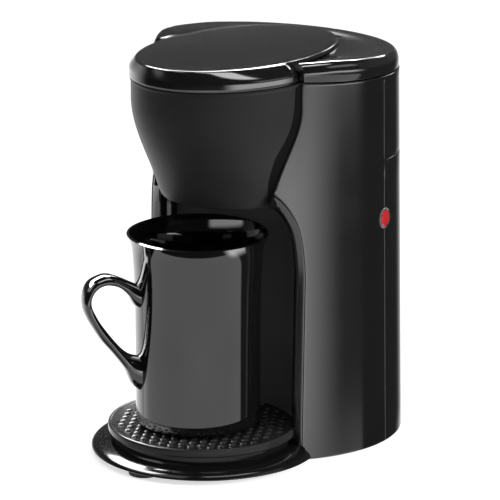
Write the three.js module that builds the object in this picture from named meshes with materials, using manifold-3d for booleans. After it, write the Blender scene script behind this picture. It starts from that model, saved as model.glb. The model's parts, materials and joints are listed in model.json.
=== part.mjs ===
// A one-cup drip coffee maker: a round body with a water tank and a flow heater, a brew head with a cone
// filter, a hinged lid, a side push button, a lift-off cup plate and a mug.
// Millimetres, +Z up, front towards -Y. The origin is on the table, under the middle of the object's box.
import * as THREE from "three";
import { LoftGeometry } from "three/addons/geometries/LoftGeometry.js";
import { mergeVertices } from "three/addons/utils/BufferGeometryUtils.js";
import Module from "manifold-3d";

const wasm = await Module();
wasm.setup();

// ---------------------------------------------------------------- driving dimensions
// Clearances
const gap = 0.3; // between pieces that touch
const seamGap = 0.6; // open joint line under the lid and the rear cover
const pinClearance = 0.3; // lid knuckle and ears on the hinge pin
const pocketClearance = 0.4; // button in its ring, plate round the arch trim

// Body
const depth = 197; // front of the foot to the back of the body
const bodyRadius = 71.2; // rear body at the table
const bodyTopRadius = 68; // rear body at the top joint line
const bodyBottom = 0.6;
const seamSlope = 0.066; // the joint line falls towards the back
const waistForward = 42.9; // from the body's axis forward to where head and body meet at the top
const wall = 2.4; // shell thickness
const panelAngle = 7.6; // degrees behind the side, where the rear panels start
const panelSplit = 46.6; // the two rear panels part this far below the top joint line

// Foot and cup plate
const footRadius = 63.2;
const footRim = 3; // height of the rim's lower edge
const shoulderRadius = 52.5;
const footShoulder = 8.8;
const platformRadius = 49.8;
const platformTop = 14.9;
const footWall = 2;
const plateForward = 2.1; // the plate's middle in front of the foot's
const plateRadius = 52.5;
const plateBottom = 12.8;
const plateTop = 17.6;
const plateSkin = 2.4;
const padHeight = 2.3;
const padRadius = 8.6;

// Mug
const mugX = -1.2;
const mugForward = 2.9; // in front of the plate's middle
const mugHeight = 108.1;
const mugRadius = 34.5;
const mugRimRadius = 38.8;
const mugWall = 3;
const handleTurn = 236.6; // degrees from +X towards +Y, as seen from above
const handleWidth = 12;

// Brew head
const mugRoom = 16.5; // from the mug's rim up to the chin
const headHeight = 69.7; // from the chin up to the top joint line
const headMiddleBack = 4.8; // its middle behind the waist
const headTopHalf = 50.5; // half width at the top
const headTopReach = 62.6; // from its middle to its front at the top
const flareHalf = 39.2; // the same two where its flare would start, below the chin
const flareReach = 38.2;
const flareDrop = 12; // the flare's start below the chin
const flareRise = 57.5; // the flare's end above the chin
const chinRounding = 2.2;
const headBack = 21.6; // its back wall behind the waist
const headWall = 2.2;
const outletPlateThickness = 2;
const headFlange = 0.6; // lip round the top of the head
const headFlangeHeight = 1.2;

// Front opening of the body, seen from the front
const archHalf = 54.5; // half width of the arch between its feet
const archReach = 18.4; // how far its curve comes in, as an ellipse
const archRise = 54;
const archCurve = 51; // height of the part of the curve that shows
const archOverlap = 8.5; // the arch ends this far above the chin
const neckHalf = 41; // narrowest half width, beside the chin
const shoulderHalf = 52.3; // half width beside the top of the head
const shoulderDrop = 14.2; // it is widest this far below the top joint line

// Alcove
const alcoveForward = 17; // front of the back panel, in front of the body's axis
const alcoveRadius = 58; // of the panel's hollow
const alcovePanelHalf = 43;
const alcovePanelWall = 2;

// Lid and rear cover
const lidHalf = 43.9; // the lid's top edge is an ellipse
const lidReach = 68.9;
const lidForward = 33.9; // its middle in front of the body's axis
const lidRise = 10.9; // its top edge above the top joint line
const lidEdgeSlope = 0.0175; // it falls towards the back
const lidEdge = 2; // thickness seen over the rear cover
const lidDome = 2.5;
const lidWall = 2;
const skirtInset = 0.3; // of the lid's skirt inside the head's side
const coverRise = 10.8; // rear cover's top corner above the top joint line, at the waist
const coverSlope = 0.12;
const coverRounding = 6;
const coverEndAngle = -43; // degrees, past where the rear cover is cut off beside the lid
const coverLip = 5; // rear cover under the lid's edge
const coverWall = 2.2;
const hingeForward = 2.6; // pin in front of the lid's rear tip
const hingeDrop = 5.3; // pin below the lid's top edge
const pinRadius = 1.4;
const knuckleRadius = 2.6;
const knuckleHalf = 9.5;
const earRadius = 2.7;
const earInner = 10;
const earOuter = 13.5;
const hingeNotchHalf = 18;

// Inside
const deckDrop = 9.6; // underside of the deck below the top joint line
const deckThickness = 2.4;
const filterForward = 18.1; // filter's axis in front of the waist
const filterTopRadius = 34.4;
const filterFlangeRadius = 36;
const holderRise = 15.5; // floor of the filter holder above the chin
const tankHalf = 45;
const tankForward = 9.3; // tank's front in front of the body's axis
const tankBackRadius = 60; // from the body's axis
const tankRoom = 4.6; // from the tank's rim up to the deck
const tankWall = 2;
const shelfHeight = 44.5; // underside of the tank shelf
const shelfThickness = 2.4;
const coverPlateHeight = 2.6; // underside of the bottom cover
const coverPlateThickness = 1.8;
const heaterHeight = 24;
const heaterHalf = 26; // half the distance between the heater's arms
const heaterRadius = 8;
const hoseRadius = 3.5;
const riserX = 30;
const buttonHeight = 129.1;
const buttonRadius = 4.2;
const buttonRingRadius = 5.75;
const glandAngle = 112; // degrees, at the back
const glandHeight = 22;

// ---------------------------------------------------------------- places worked out from them
const deg = THREE.MathUtils.degToRad;
const lerp = THREE.MathUtils.lerp;
const smooth = (x, low, high) => THREE.MathUtils.smoothstep(x, low, high);

// Heights, from the table up
const coverPlateTop = coverPlateHeight + coverPlateThickness;
const shelfTop = shelfHeight + shelfThickness;
const tankBottom = shelfTop + gap;
const mugBottom = plateTop + gap;
const mugTop = mugBottom + mugHeight;
const chinHeight = mugTop + mugRoom;
const seamHeight = chinHeight + headHeight; // top joint line at the waist
const archTop = chinHeight + archOverlap;
const archSpring = archTop - archCurve;
const neckHeight = chinHeight - 0.5;
const shoulderHeight = seamHeight - shoulderDrop;
const deckHeight = seamHeight - deckDrop;
const tankTop = deckHeight - tankRoom;
const lidEdgeHeight = seamHeight + lidRise;
const coverRim = seamHeight + coverRise;

// Places from front to back
const bodyY = depth / 2 - bodyRadius;
const footY = footRadius - depth / 2;
const plateY = footY - plateForward;
const mugY = plateY - mugForward;
const waistY = bodyY - waistForward;
const headY = waistY + headMiddleBack;
const headBackY = waistY + headBack;
const filterY = waistY - filterForward;
const alcoveBackY = bodyY - alcoveForward;
const lidY = bodyY - lidForward;
const tankFrontY = bodyY - tankForward;
const riserY = tankFrontY - hoseRadius - 2.5;

// Reach of the cutters, well clear of the object
const far = 2 * depth;
const tall = 2 * seamHeight;
const under = -10;
const overFoot = 3 * plateTop;

const bodyRadiusAt = (z) => lerp(bodyRadius, bodyTopRadius, z / seamHeight);
const seamAt = (y) => seamHeight - seamSlope * Math.max(0, y - waistY);
const lidEdgeAt = (y) => lidEdgeHeight - lidEdgeSlope * (y - lidY);
const lidTipY = lidY + lidReach;
const hingeY = lidTipY - hingeForward;
const hingeZ = lidEdgeAt(lidTipY) - hingeDrop;

// ---------------------------------------------------------------- finishes
const finish = (color, roughness, metalness = 0) =>
  new THREE.MeshStandardMaterial({ color, roughness, metalness });
const glossBlack = finish(0x0c0c0d, 0.18);
const satinBlack = finish(0x141415, 0.38);
const glazeBlack = finish(0x0a0a0b, 0.08);
const softBlack = finish(0x1b1b1c, 0.9);
const innerGrey = finish(0x2c2d2f, 0.6);
const clearGrey = finish(0x8f979c, 0.25);
const aluminium = finish(0xb4b7ba, 0.35, 1);
const steel = finish(0xa9abad, 0.3, 1);
const silicone = finish(0xd9d6cf, 0.6);
const redLens = finish(0xd0101a, 0.2);
const amber = finish(0xff7a33, 0.3);
const wireBrown = finish(0x5a3423, 0.6);
const wireBlue = finish(0x27418a, 0.6);

// ---------------------------------------------------------------- solids
// A closed three.js geometry as a solid that can be joined and cut.
function solid(geometry) {
  const bare = geometry.index ? geometry.toNonIndexed() : geometry.clone();
  for (const name of Object.keys(bare.attributes)) if (name !== "position") bare.deleteAttribute(name);
  const merged = mergeVertices(bare, 1e-4);
  const corners = merged.index.array;
  const triangles = [];
  for (let i = 0; i < corners.length; i += 3) {
    const [a, b, c] = [corners[i], corners[i + 1], corners[i + 2]];
    if (a !== b && b !== c && c !== a) triangles.push(a, b, c);
  }
  const build = (list) =>
    new wasm.Manifold(
      new wasm.Mesh({
        numProp: 3,
        vertProperties: merged.attributes.position.array,
        triVerts: new Uint32Array(list),
      }),
    );
  const made = build(triangles);
  if (made.volume() > 0) return made;
  for (let i = 0; i < triangles.length; i += 3)
    [triangles[i + 1], triangles[i + 2]] = [triangles[i + 2], triangles[i + 1]];
  return build(triangles);
}

const group = new THREE.Group();

// Adds a solid to the model as a named mesh.
function piece(name, body, material) {
  const { vertProperties, triVerts, numProp } = body.getMesh();
  const geometry = new THREE.BufferGeometry();
  const positions = new Float32Array((vertProperties.length / numProp) * 3);
  for (let i = 0; i < positions.length / 3; i++)
    for (let k = 0; k < 3; k++) positions[i * 3 + k] = vertProperties[i * numProp + k];
  geometry.setAttribute("position", new THREE.BufferAttribute(positions, 3));
  geometry.setIndex(new THREE.BufferAttribute(new Uint32Array(triVerts), 1));
  geometry.computeVertexNormals();
  const mesh = new THREE.Mesh(geometry, material);
  mesh.name = name;
  group.add(mesh);
}

const at = (x, y, z) => new THREE.Vector3(x, y, z);

function box(x0, x1, y0, y1, z0, z1) {
  const geometry = new THREE.BoxGeometry(x1 - x0, y1 - y0, z1 - z0);
  return solid(geometry.translate((x0 + x1) / 2, (y0 + y1) / 2, (z0 + z1) / 2));
}

// A round bar, or a cone with another radius at its far end, between two points.
function rod(from, to, radius, segments = 24, endRadius = radius) {
  const along = to.clone().sub(from);
  const geometry = new THREE.CylinderGeometry(endRadius, radius, along.length(), segments);
  geometry.translate(0, along.length() / 2, 0);
  geometry.applyQuaternion(new THREE.Quaternion().setFromUnitVectors(at(0, 1, 0), along.normalize()));
  return solid(geometry.translate(from.x, from.y, from.z));
}

// A profile of [radius, height] points, from axis to axis, turned about a vertical axis at x, y.
function turned(profile, x, y, segments = 64) {
  const points = profile.map(([r, z]) => new THREE.Vector2(r, z));
  return solid(new THREE.LatheGeometry(points, segments).rotateX(Math.PI / 2).translate(x, y, 0));
}

// An outline in plan, raised from z0 to z1.
function prism(outline, z0, z1) {
  const shape = new THREE.Shape(outline.map(([x, y]) => new THREE.Vector2(x, y)));
  const geometry = new THREE.ExtrudeGeometry(shape, { depth: z1 - z0, bevelEnabled: false });
  return solid(geometry.translate(0, 0, z0));
}

// An outline seen from the front, as [x, z], that runs from y0 back to y1.
function frontPrism(outline, y0, y1) {
  const shape = new THREE.Shape(outline.map(([x, z]) => new THREE.Vector2(x, z)));
  const geometry = new THREE.ExtrudeGeometry(shape, { depth: y1 - y0, bevelEnabled: false });
  return solid(geometry.rotateX(Math.PI / 2).translate(0, y1, 0));
}

// A skin through sections with the same number of points each, closed at both ends.
function loft(sections) {
  const [first, second] = sections;
  const next = (i) => first[(i + 1) % first.length];
  const facing = first.reduce((sum, p, i) => sum.add(p.clone().cross(next(i))), at(0, 0, 0));
  const forwards = first.reduce((sum, p, i) => sum.add(second[i]).sub(p), at(0, 0, 0));
  const rows = facing.dot(forwards) > 0 ? sections : sections.map((section) => [...section].reverse());
  return solid(new LoftGeometry(rows, { capStart: true, capEnd: true }));
}

// A hose or wire of one radius along a smooth curve through the points.
function hose(points, radius, steps, sides = 8) {
  const path = new THREE.CatmullRomCurve3(points.map((p) => at(...p)), false, "centripetal");
  const shape = new THREE.Shape();
  for (let i = 0; i < sides; i++) {
    const angle = (i / sides) * 2 * Math.PI;
    const [x, y] = [radius * Math.cos(angle), radius * Math.sin(angle)];
    i ? shape.lineTo(x, y) : shape.moveTo(x, y);
  }
  return solid(new THREE.ExtrudeGeometry(shape, { steps, extrudePath: path, bevelEnabled: false }));
}

const arc = (count, from, to, point) =>
  Array.from({ length: count + 1 }, (_, i) => point(lerp(from, to, i / count)));

const mirrored = (body) => body.mirror([1, 0, 0]);

// ---------------------------------------------------------------- the body's shape
// Solid of the rear body's outside, made smaller by inset, from z0 to the height top(y).
function bodySolid(inset, z0, top, segments = 72) {
  const ring = (height) =>
    arc(segments - 1, 0, 2 * Math.PI * (1 - 1 / segments), (a) => {
      let z = height(bodyY);
      let y = bodyY;
      for (let i = 0; i < 4; i++) {
        y = bodyY + (bodyRadiusAt(z) - inset) * Math.sin(a);
        z = height(y);
      }
      return at((bodyRadiusAt(z) - inset) * Math.cos(a), y, z);
    });
  return loft([ring(() => z0), ring(top)]);
}

// Half width of the body's front opening at height z.
function openingHalf(z) {
  if (z > archTop) return lerp(neckHalf, shoulderHalf, smooth(z, neckHeight, shoulderHeight));
  const rise = Math.max(0, (z - archSpring) / archRise);
  return archHalf - archReach * (1 - Math.sqrt(1 - Math.min(1, rise * rise)));
}

// The opening as a block cut along Y, with its edge moved outwards by grow.
function openingSolid(grow, z0, z1) {
  const steps = [archSpring];
  for (let z = archSpring + 6; z < archTop - 1; z += 5) steps.push(z);
  steps.push(archTop - 0.5, archTop + 0.5);
  for (let z = archTop + 6; z < shoulderHeight + 3; z += 6) steps.push(z);
  const heights = [z0, ...steps.filter((z) => z > z0 + 1 && z < z1 - 1), z1];
  const side = heights.map((z) => [openingHalf(z) + grow, z]);
  const other = side.map(([x, z]) => [-x, z]).reverse();
  return frontPrism([...side, ...other], -far, bodyY);
}

const shellHeight = (y) => seamAt(y);
const bodyShell = bodySolid(0, bodyBottom, shellHeight).subtract(
  bodySolid(wall, bodyBottom - 1, (y) => seamAt(y) + 1),
);

// Half space behind the rear panels' joint line, moved forwards by shift.
function behindPanelLine(shift) {
  const outer = 2 * bodyRadius;
  const angle = deg(panelAngle);
  const side = [outer * Math.cos(angle), outer * Math.sin(angle) - shift / Math.cos(angle)];
  const outline = [[0, -shift], side, [outer, outer], [-outer, outer], [-side[0], side[1]]];
  return prism(outline.map(([x, y]) => [x, bodyY + y]), under, tall);
}

const buttonAngle = deg(panelAngle);
const outwards = at(Math.cos(buttonAngle), Math.sin(buttonAngle), 0);
const onButtonAxis = (radius) =>
  at(outwards.x * radius, bodyY + outwards.y * radius, buttonHeight);
const buttonFace = bodyRadiusAt(buttonHeight);
const buttonHoleFrom = onButtonAxis(buttonFace - 12);
const buttonHoleTo = onButtonAxis(buttonFace + 5);
const buttonHole = rod(buttonHoleFrom, buttonHoleTo, buttonRingRadius + gap, 32);

// ---------------------------------------------------------------- outer shells
const bothSides = bodyShell.subtract(openingSolid(0, under, tall)).subtract(behindPanelLine(gap / 2));
const oneSide = bothSides.intersect(box(0.01, far, -far, far, under, tall));
piece("side_shell_right", oneSide.subtract(buttonHole), glossBlack);
piece("side_shell_left", mirrored(oneSide), glossBlack);

const glandOut = at(Math.cos(deg(glandAngle)), Math.sin(deg(glandAngle)), 0);
const onGlandAxis = (radius) => at(glandOut.x * radius, bodyY + glandOut.y * radius, glandHeight);
const glandRadius = 5;
const glandFace = bodyRadiusAt(glandHeight);

function rearPanel(upper) {
  const split = (y) => seamAt(y) - panelSplit + (upper ? gap / 2 : -gap / 2);
  const below = bodySolid(-3, -4, split);
  const whole = bodyShell.intersect(behindPanelLine(-gap / 2));
  if (upper) return whole.subtract(below);
  const glandHole = rod(onGlandAxis(glandFace - 8), onGlandAxis(glandFace + 8), glandRadius + gap, 28);
  return whole.intersect(below).subtract(buttonHole).subtract(glandHole);
}
piece("rear_panel_lower", rearPanel(false), glossBlack);
piece("rear_panel_upper", rearPanel(true), glossBlack);

// ---------------------------------------------------------------- brew head
// Plan section of the head at height z, made smaller by inset: an ellipse in front, square behind.
function headSection(z, inset, height = z) {
  const t = smooth(z, chinHeight - flareDrop, chinHeight + flareRise);
  const flange = headFlange * smooth(z, seamHeight - 2 * headFlangeHeight, seamHeight - headFlangeHeight);
  const half = lerp(flareHalf, headTopHalf, t) + flange - inset;
  const reach = lerp(flareReach, headTopReach, t) + flange - inset;
  const back = headBackY - inset;
  const corner = 2.5;
  const front = arc(28, 0, -Math.PI, (a) => at(half * Math.cos(a), headY + reach * Math.sin(a), height));
  const rear = [
    at(-half, back - corner, height),
    at(corner - half, back, height),
    at(half - corner, back, height),
    at(half, back - corner, height),
  ];
  return [...front, ...rear].reverse();
}

function headSolid(inset, z0, z1, rounding = chinRounding) {
  const sections = [
    headSection(z0, inset + rounding),
    headSection(z0 + rounding * 0.3, inset + rounding * 0.3),
    headSection(z0 + rounding, inset),
  ];
  const start = z0 + rounding;
  for (let z = start + 6; z < z1 - 8; z += 9) sections.push(headSection(z, inset));
  sections.push(headSection(seamHeight - 2 * headFlangeHeight, inset));
  sections.push(headSection(seamHeight - headFlangeHeight, inset));
  sections.push(headSection(seamHeight, inset, z1));
  return loft(sections);
}
const headCutter = headSolid(-pocketClearance, chinHeight - 0.5, seamHeight + 6);
const headHollow = headSolid(headWall, chinHeight + chinRounding + outletPlateThickness, seamHeight + 2);
const outletPocket = loft([
  headSection(chinHeight, headWall + chinRounding, chinHeight - 1),
  headSection(chinHeight, headWall + chinRounding, chinHeight + chinRounding + outletPlateThickness + 1),
]);
const backCutHalf = headTopHalf - 4.6;
const backWallCut = box(
  -backCutHalf, backCutHalf, headBackY - 2 * headWall, headBackY + 1, deckHeight - 1, seamHeight + 1,
);
piece(
  "head_shell",
  headSolid(0, chinHeight, seamHeight).subtract(headHollow).subtract(outletPocket).subtract(backWallCut),
  satinBlack,
);

const outletRadius = 7;
const outletHole = rod(at(0, filterY, chinHeight - 5), at(0, filterY, chinHeight + 5), outletRadius, 28);
const outletPlateZ = chinHeight + 0.4;
piece(
  "outlet_plate",
  loft([
    headSection(chinHeight, headWall + chinRounding + gap, outletPlateZ),
    headSection(chinHeight, headWall + chinRounding + gap, outletPlateZ + outletPlateThickness),
  ]).subtract(outletHole),
  satinBlack,
);

// ---------------------------------------------------------------- trim round the front opening
const trimInset = wall + gap;
const trimWall = 2;
const trimOverlap = 5;
function grooveTrim() {
  const band = bodySolid(trimInset, archTop - 6, (y) => seamAt(y) - 0.6).subtract(
    bodySolid(trimInset + trimWall, archTop - 8, (y) => seamAt(y) + 1),
  );
  return band
    .intersect(openingSolid(trimOverlap, archTop - 6, tall))
    .intersect(box(5, far, -far, waistY + 12, archTop - 6, tall))
    .subtract(headCutter);
}
const largest = (body) => body.decompose().sort((a, b) => b.volume() - a.volume())[0];

// The arch trim: a bullnose band and a recessed lip that follow the opening's edge up one side.
const bezelProfile = [
  [0.45, 0.4],
  [1.4, -0.3],
  [3.4, -0.5],
  [5.4, 0.1],
  [6.4, 1.3],
  [6.8, 3.2],
  [9.6, 4],
  [11.5, 5],
  [11.5, 8.5],
  [0.45, 8.5],
];
const bezelFoot = coverPlateTop + gap; // it runs down behind the foot's shoulder
function bezelLeg(grow = 0) {
  const curve = [41, 33, 26, 20, 15, 11, 7.5, 4.5, 2].map((drop) => archTop - drop);
  const heights = [bezelFoot - grow, archSpring / 2, archSpring, ...curve, archTop + grow];
  const sections = heights.map((height) => {
    const z = Math.min(height, archTop);
    const x = openingHalf(z);
    const y = bodyY - Math.sqrt(bodyRadiusAt(z) ** 2 - x * x);
    const slope = openingHalf(z - 0.5) - openingHalf(Math.min(z + 0.5, archTop));
    const inwards = at(-1, 0, -slope).normalize();
    return bezelProfile.map(([n, back], i) => {
      const away = i === 0 || i === bezelProfile.length - 1 ? -grow : grow;
      const deep = i > bezelProfile.length - 3 ? grow : -grow;
      return inwards.clone().multiplyScalar(n + away).add(at(x, y + back + deep, height));
    });
  });
  return loft(sections);
}

const rightBezel = bezelLeg().subtract(headCutter);
piece("arch_trim_right", rightBezel, satinBlack);
piece("arch_trim_left", mirrored(rightBezel), satinBlack);
const rightTrim = largest(grooveTrim().subtract(bezelLeg(pocketClearance)));
piece("groove_trim_right", rightTrim, satinBlack);
piece("groove_trim_left", mirrored(rightTrim), satinBlack);

// Hollow back panel of the alcove, from the foot up to the underside of the head.
const alcoveArc = (radiusChange) => {
  const radius = alcoveRadius + radiusChange;
  const spread = Math.asin(alcovePanelHalf / radius);
  return arc(28, -spread, spread, (a) => [
    radius * Math.sin(a),
    alcoveBackY - alcoveRadius + radius * Math.cos(a),
  ]);
};
const alcovePanelBottom = footShoulder + gap;
const bezelCutters = bezelLeg(pocketClearance).add(mirrored(bezelLeg(pocketClearance)));
piece(
  "alcove_panel",
  prism([...alcoveArc(0), ...alcoveArc(alcovePanelWall).reverse()], alcovePanelBottom, chinHeight - gap)
    .subtract(bezelCutters),
  satinBlack,
);
const panelEndY = alcoveArc(0)[0][1];
const frontOfPanel = [...alcoveArc(-gap), [alcovePanelHalf, -far], [-alcovePanelHalf, -far]];
const inFrontOfPanel = prism(frontOfPanel, under, overFoot)
  .add(box(-far, far, -far, panelEndY - gap, under, overFoot));

// ---------------------------------------------------------------- foot
const footCutters = bodySolid(-gap, under, () => overFoot)
  .subtract(bodySolid(wall + gap, under - 2, () => overFoot + 2))
  .subtract(openingSolid(-gap, under - 2, overFoot + 10));
const footBackY = alcoveBackY + alcovePanelWall + 3;
const behindFoot = box(-far, far, footBackY, far, under, overFoot);
const overBottomCover = rod(at(0, bodyY, under), at(0, bodyY, coverPlateTop + gap), bodyRadius - wall, 64);
const footDome = turned(
  [
    [0, footShoulder - footWall],
    [shoulderRadius, footShoulder - footWall - 0.4],
    [footRadius - 4.2, footRim + 2.2],
    [footRadius - 1.9, footRim],
    [footRadius, footRim],
    [footRadius, footRim + 1.2],
    [footRadius - 1.6, footRim + 3.2],
    [footRadius - 5.6, footRim + 4.8],
    [shoulderRadius, footShoulder],
    [0, footShoulder],
  ],
  0,
  footY,
  60,
);
const onPlateAxis = (z) => at(0, plateY, z);
const platform = rod(onPlateAxis(footShoulder - 1), onPlateAxis(platformTop), platformRadius, 60);
const platformRoof = onPlateAxis(platformTop - footWall);
const platformHollow = rod(onPlateAxis(0), platformRoof, platformRadius - footWall, 60);
const panelSlot = prism(
  [...alcoveArc(-gap - 0.15), ...alcoveArc(alcovePanelWall + gap + 0.15).reverse()],
  alcovePanelBottom - gap,
  overFoot,
);
piece(
  "foot_shell",
  footDome
    .add(platform)
    .subtract(platformHollow)
    .subtract(footCutters)
    .subtract(bezelCutters)
    .subtract(behindFoot)
    .subtract(overBottomCover)
    .subtract(panelSlot),
  glossBlack,
);

// Bottom cover: closes the body and the foot, inside their rims.
const coverClear = gap + 0.1;
const bodyPlate = turned(
  [[0, coverPlateHeight], [bodyRadius - wall - coverClear, coverPlateHeight],
    [bodyRadius - wall - coverClear, coverPlateTop], [0, coverPlateTop]],
  0,
  bodyY,
  54,
);
const footPlateRadius = footRadius - 1.9 - coverClear - 0.4;
const footPlate = turned(
  [[0, coverPlateHeight], [footPlateRadius, coverPlateHeight], [footPlateRadius - 2, coverPlateTop],
    [0, coverPlateTop]],
  0,
  footY,
  48,
);
const screwHeadRadius = 3;
const screwRadius = 1.3;
const screwPlaces = [
  ["body_screw_1", 46, bodyY + 34.7],
  ["body_screw_2", -46, bodyY + 34.7],
  ["body_screw_3", 0, bodyY + 56.7],
  ["foot_screw_1", 33, footY - 14.7],
  ["foot_screw_2", -33, footY - 14.7],
];
let bottomCover = bodyPlate.add(footPlate.subtract(footCutters));
for (const [, x, y] of screwPlaces) {
  const hole = rod(at(x, y, -1), at(x, y, 10), screwRadius + gap + 0.1, 10);
  const sink = rod(at(x, y, -1), at(x, y, coverPlateHeight + 0.8), screwHeadRadius + gap + 0.1, 16);
  bottomCover = bottomCover.subtract(hole).subtract(sink);
}
piece("bottom_cover", bottomCover, softBlack);

const padPlaces = [
  ["foot_pad_front", 0, footY - footRadius + padRadius + 1.6],
  ["foot_pad_right", 40, bodyY + 20.7],
  ["foot_pad_left", -40, bodyY + 20.7],
];
const padTop = coverPlateHeight - gap;
const padProfile = [
  [0, padTop - padHeight],
  [padRadius - 0.6, padTop - padHeight],
  [padRadius, padTop - padHeight + 0.6],
  [padRadius, padTop],
  [0, padTop],
];
for (const [name, x, y] of padPlaces) piece(name, turned(padProfile, x, y, 24), softBlack);

// ---------------------------------------------------------------- cup plate and mug
const plateOutline = [
  [0, plateTop - plateSkin],
  [plateRadius - 2.2, plateTop - plateSkin],
  [plateRadius - 2.2, plateBottom],
  [plateRadius - 0.3, plateBottom],
  [plateRadius, plateBottom + 0.3],
  [plateRadius, plateTop - 0.5],
  [plateRadius - 0.5, plateTop],
  [0, plateTop],
];
const bodyEdge = bodySolid(-20, under, () => overFoot)
  .subtract(openingSolid(-pocketClearance, under - 2, overFoot + 10))
  .intersect(box(-far, far, waistY - 30, far, under, overFoot));
piece(
  "cup_plate",
  turned(plateOutline, 0, plateY, 60).intersect(inFrontOfPanel).subtract(bezelCutters).subtract(bodyEdge),
  satinBlack,
);

function mugSolid() {
  const inner = mugRadius - mugWall;
  const profile = [
    [0, mugBottom + 1.6],
    [mugRadius - 8.5, mugBottom + 1.6],
    [mugRadius - 7.9, mugBottom],
    [mugRadius - 5, mugBottom],
    [mugRadius - 1.5, mugBottom + 1.6],
    [mugRadius, mugBottom + 7],
    [mugRadius, mugBottom + 62],
    [mugRadius + 0.6, mugTop - 26],
    [mugRadius + 1.6, mugTop - 9],
    [mugRadius + 3, mugTop - 4],
    [mugRimRadius, mugTop - 1.2],
    [mugRimRadius - 1, mugTop],
    [mugRimRadius - 2.4, mugTop - 1],
    [inner + 1.2, mugTop - 7],
    [inner, mugTop - 26],
    [inner - 0.4, mugBottom + 12],
    [inner - 5, mugBottom + 5],
    [0, mugBottom + 4],
  ];
  return turned(profile, mugX, mugY, 48);
}

// The handle is a strap that follows a curve of [reach, height above the mug's bottom, half thickness].
const handlePath = [
  [mugRadius - 1.2, 74, 5.4],
  [mugRadius + 4.5, 78.6, 4.3],
  [mugRadius + 11.5, 84.2, 3],
  [mugRadius + 18, 85.9, 2.6],
  [mugRadius + 24.7, 83.2, 2.5],
  [mugRadius + 28.5, 76.6, 2.5],
  [mugRadius + 27.9, 68.4, 2.5],
  [mugRadius + 22.5, 58.2, 2.6],
  [mugRadius + 14.1, 47.2, 2.9],
  [mugRadius + 6.5, 38, 4],
  [mugRadius - 1.2, 30.6, 7.4],
];
function handleSolid() {
  const out = at(Math.cos(deg(handleTurn)), Math.sin(deg(handleTurn)), 0);
  const side = at(-out.y, out.x, 0);
  const centre = ([reach, height]) =>
    out.clone().multiplyScalar(reach).add(at(mugX, mugY, mugBottom + height));
  const sections = handlePath.map((here, i) => {
    const before = centre(handlePath[Math.max(0, i - 1)]);
    const after = centre(handlePath[Math.min(handlePath.length - 1, i + 1)]);
    const along = after.sub(before).normalize();
    const across = along.clone().cross(side).normalize();
    const end = i === 0 || i === handlePath.length - 1;
    const half = (handleWidth / 2) * (end ? 1.12 : 1);
    return arc(9, 0, 2 * Math.PI * 0.9, (a) => {
      const [c, s] = [Math.cos(a), Math.sin(a)];
      const w = Math.sign(c) * Math.abs(c) ** 0.7 * half;
      const t = Math.sign(s) * Math.abs(s) ** 0.7 * here[2];
      return centre(here).addScaledVector(side, w).addScaledVector(across, t);
    });
  });
  return loft(sections);
}
const mugHollow = turned(
  [[0, mugBottom + 2], [mugRadius - 1.6, mugBottom + 2], [mugRadius - 1.6, mugTop], [0, mugTop]],
  mugX,
  mugY,
  64,
);
piece("mug", mugSolid().add(handleSolid().subtract(mugHollow)), glazeBlack);

// ---------------------------------------------------------------- rear cover
// Distance from the body's axis to the lid's edge, made smaller by inset, along a direction.
function lidEdgeRadius(a, inset) {
  const [dx, dy] = [Math.cos(a), Math.sin(a)];
  const [half, reach] = [lidHalf - inset, lidReach - inset];
  const offset = bodyY - lidY;
  const qa = (dx / half) ** 2 + (dy / reach) ** 2;
  const qb = (2 * offset * dy) / reach ** 2;
  const qc = (offset / reach) ** 2 - 1;
  return (-qb + Math.sqrt(qb * qb - 4 * qa * qc)) / (2 * qa);
}
const coverRimAt = (y) => coverRim - coverSlope * Math.max(0, y);
const underLid = lidEdge + 0.4; // the cover lies this far below the lid's top edge
const coverRadius = bodyTopRadius - 0.3;
const lidSwing = 1.5; // room round the lid's edge, which moves back as it opens

function coverSection(a) {
  const point = (r, z) => at(r * Math.cos(a), bodyY + r * Math.sin(a), z);
  const yAt = (r) => bodyY + r * Math.sin(a);
  const inner = lidEdgeRadius(a, coverLip);
  const edge = lidEdgeRadius(a, -lidSwing);
  const lipZ = lidEdgeAt(yAt(edge)) - underLid;
  const corner = coverRimAt(yAt(coverRadius));
  const bottom = seamAt(yAt(coverRadius)) + seamGap;
  const r = Math.min(coverRounding, coverRadius - edge - 2);
  const slope = [lerp(edge, coverRadius - r, 0.5), lerp(lipZ, corner, 0.62)];
  const top = [point(inner, lipZ), point(edge, lipZ), point(...slope)];
  const round = arc(3, 90, 0, (d) =>
    point(coverRadius - r + r * Math.cos(deg(d)), corner - r + r * Math.sin(deg(d))),
  );
  return [
    ...top,
    ...round,
    point(coverRadius, bottom),
    point(coverRadius - coverWall, bottom),
    point(coverRadius - coverWall, corner - r),
    point(coverRadius - coverWall - r * 0.5, corner - coverWall - 0.6),
    point(slope[0], slope[1] - coverWall),
    point(inner, lipZ - coverWall),
  ];
}
const notchBack = hingeY + Math.hypot(hingeForward, hingeDrop) + pinClearance;
const hingeNotch = box(-hingeNotchHalf, hingeNotchHalf, hingeY - 20, notchBack, hingeZ - 12, hingeZ + 12);
const coverSections = arc(36, coverEndAngle, 180 - coverEndAngle, (d) => coverSection(deg(d)));
const beforeWaist = box(-far, far, -far, waistY + 0.1, archTop, tall);
piece("rear_cover", loft(coverSections).subtract(hingeNotch).subtract(beforeWaist), glossBlack);

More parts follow.
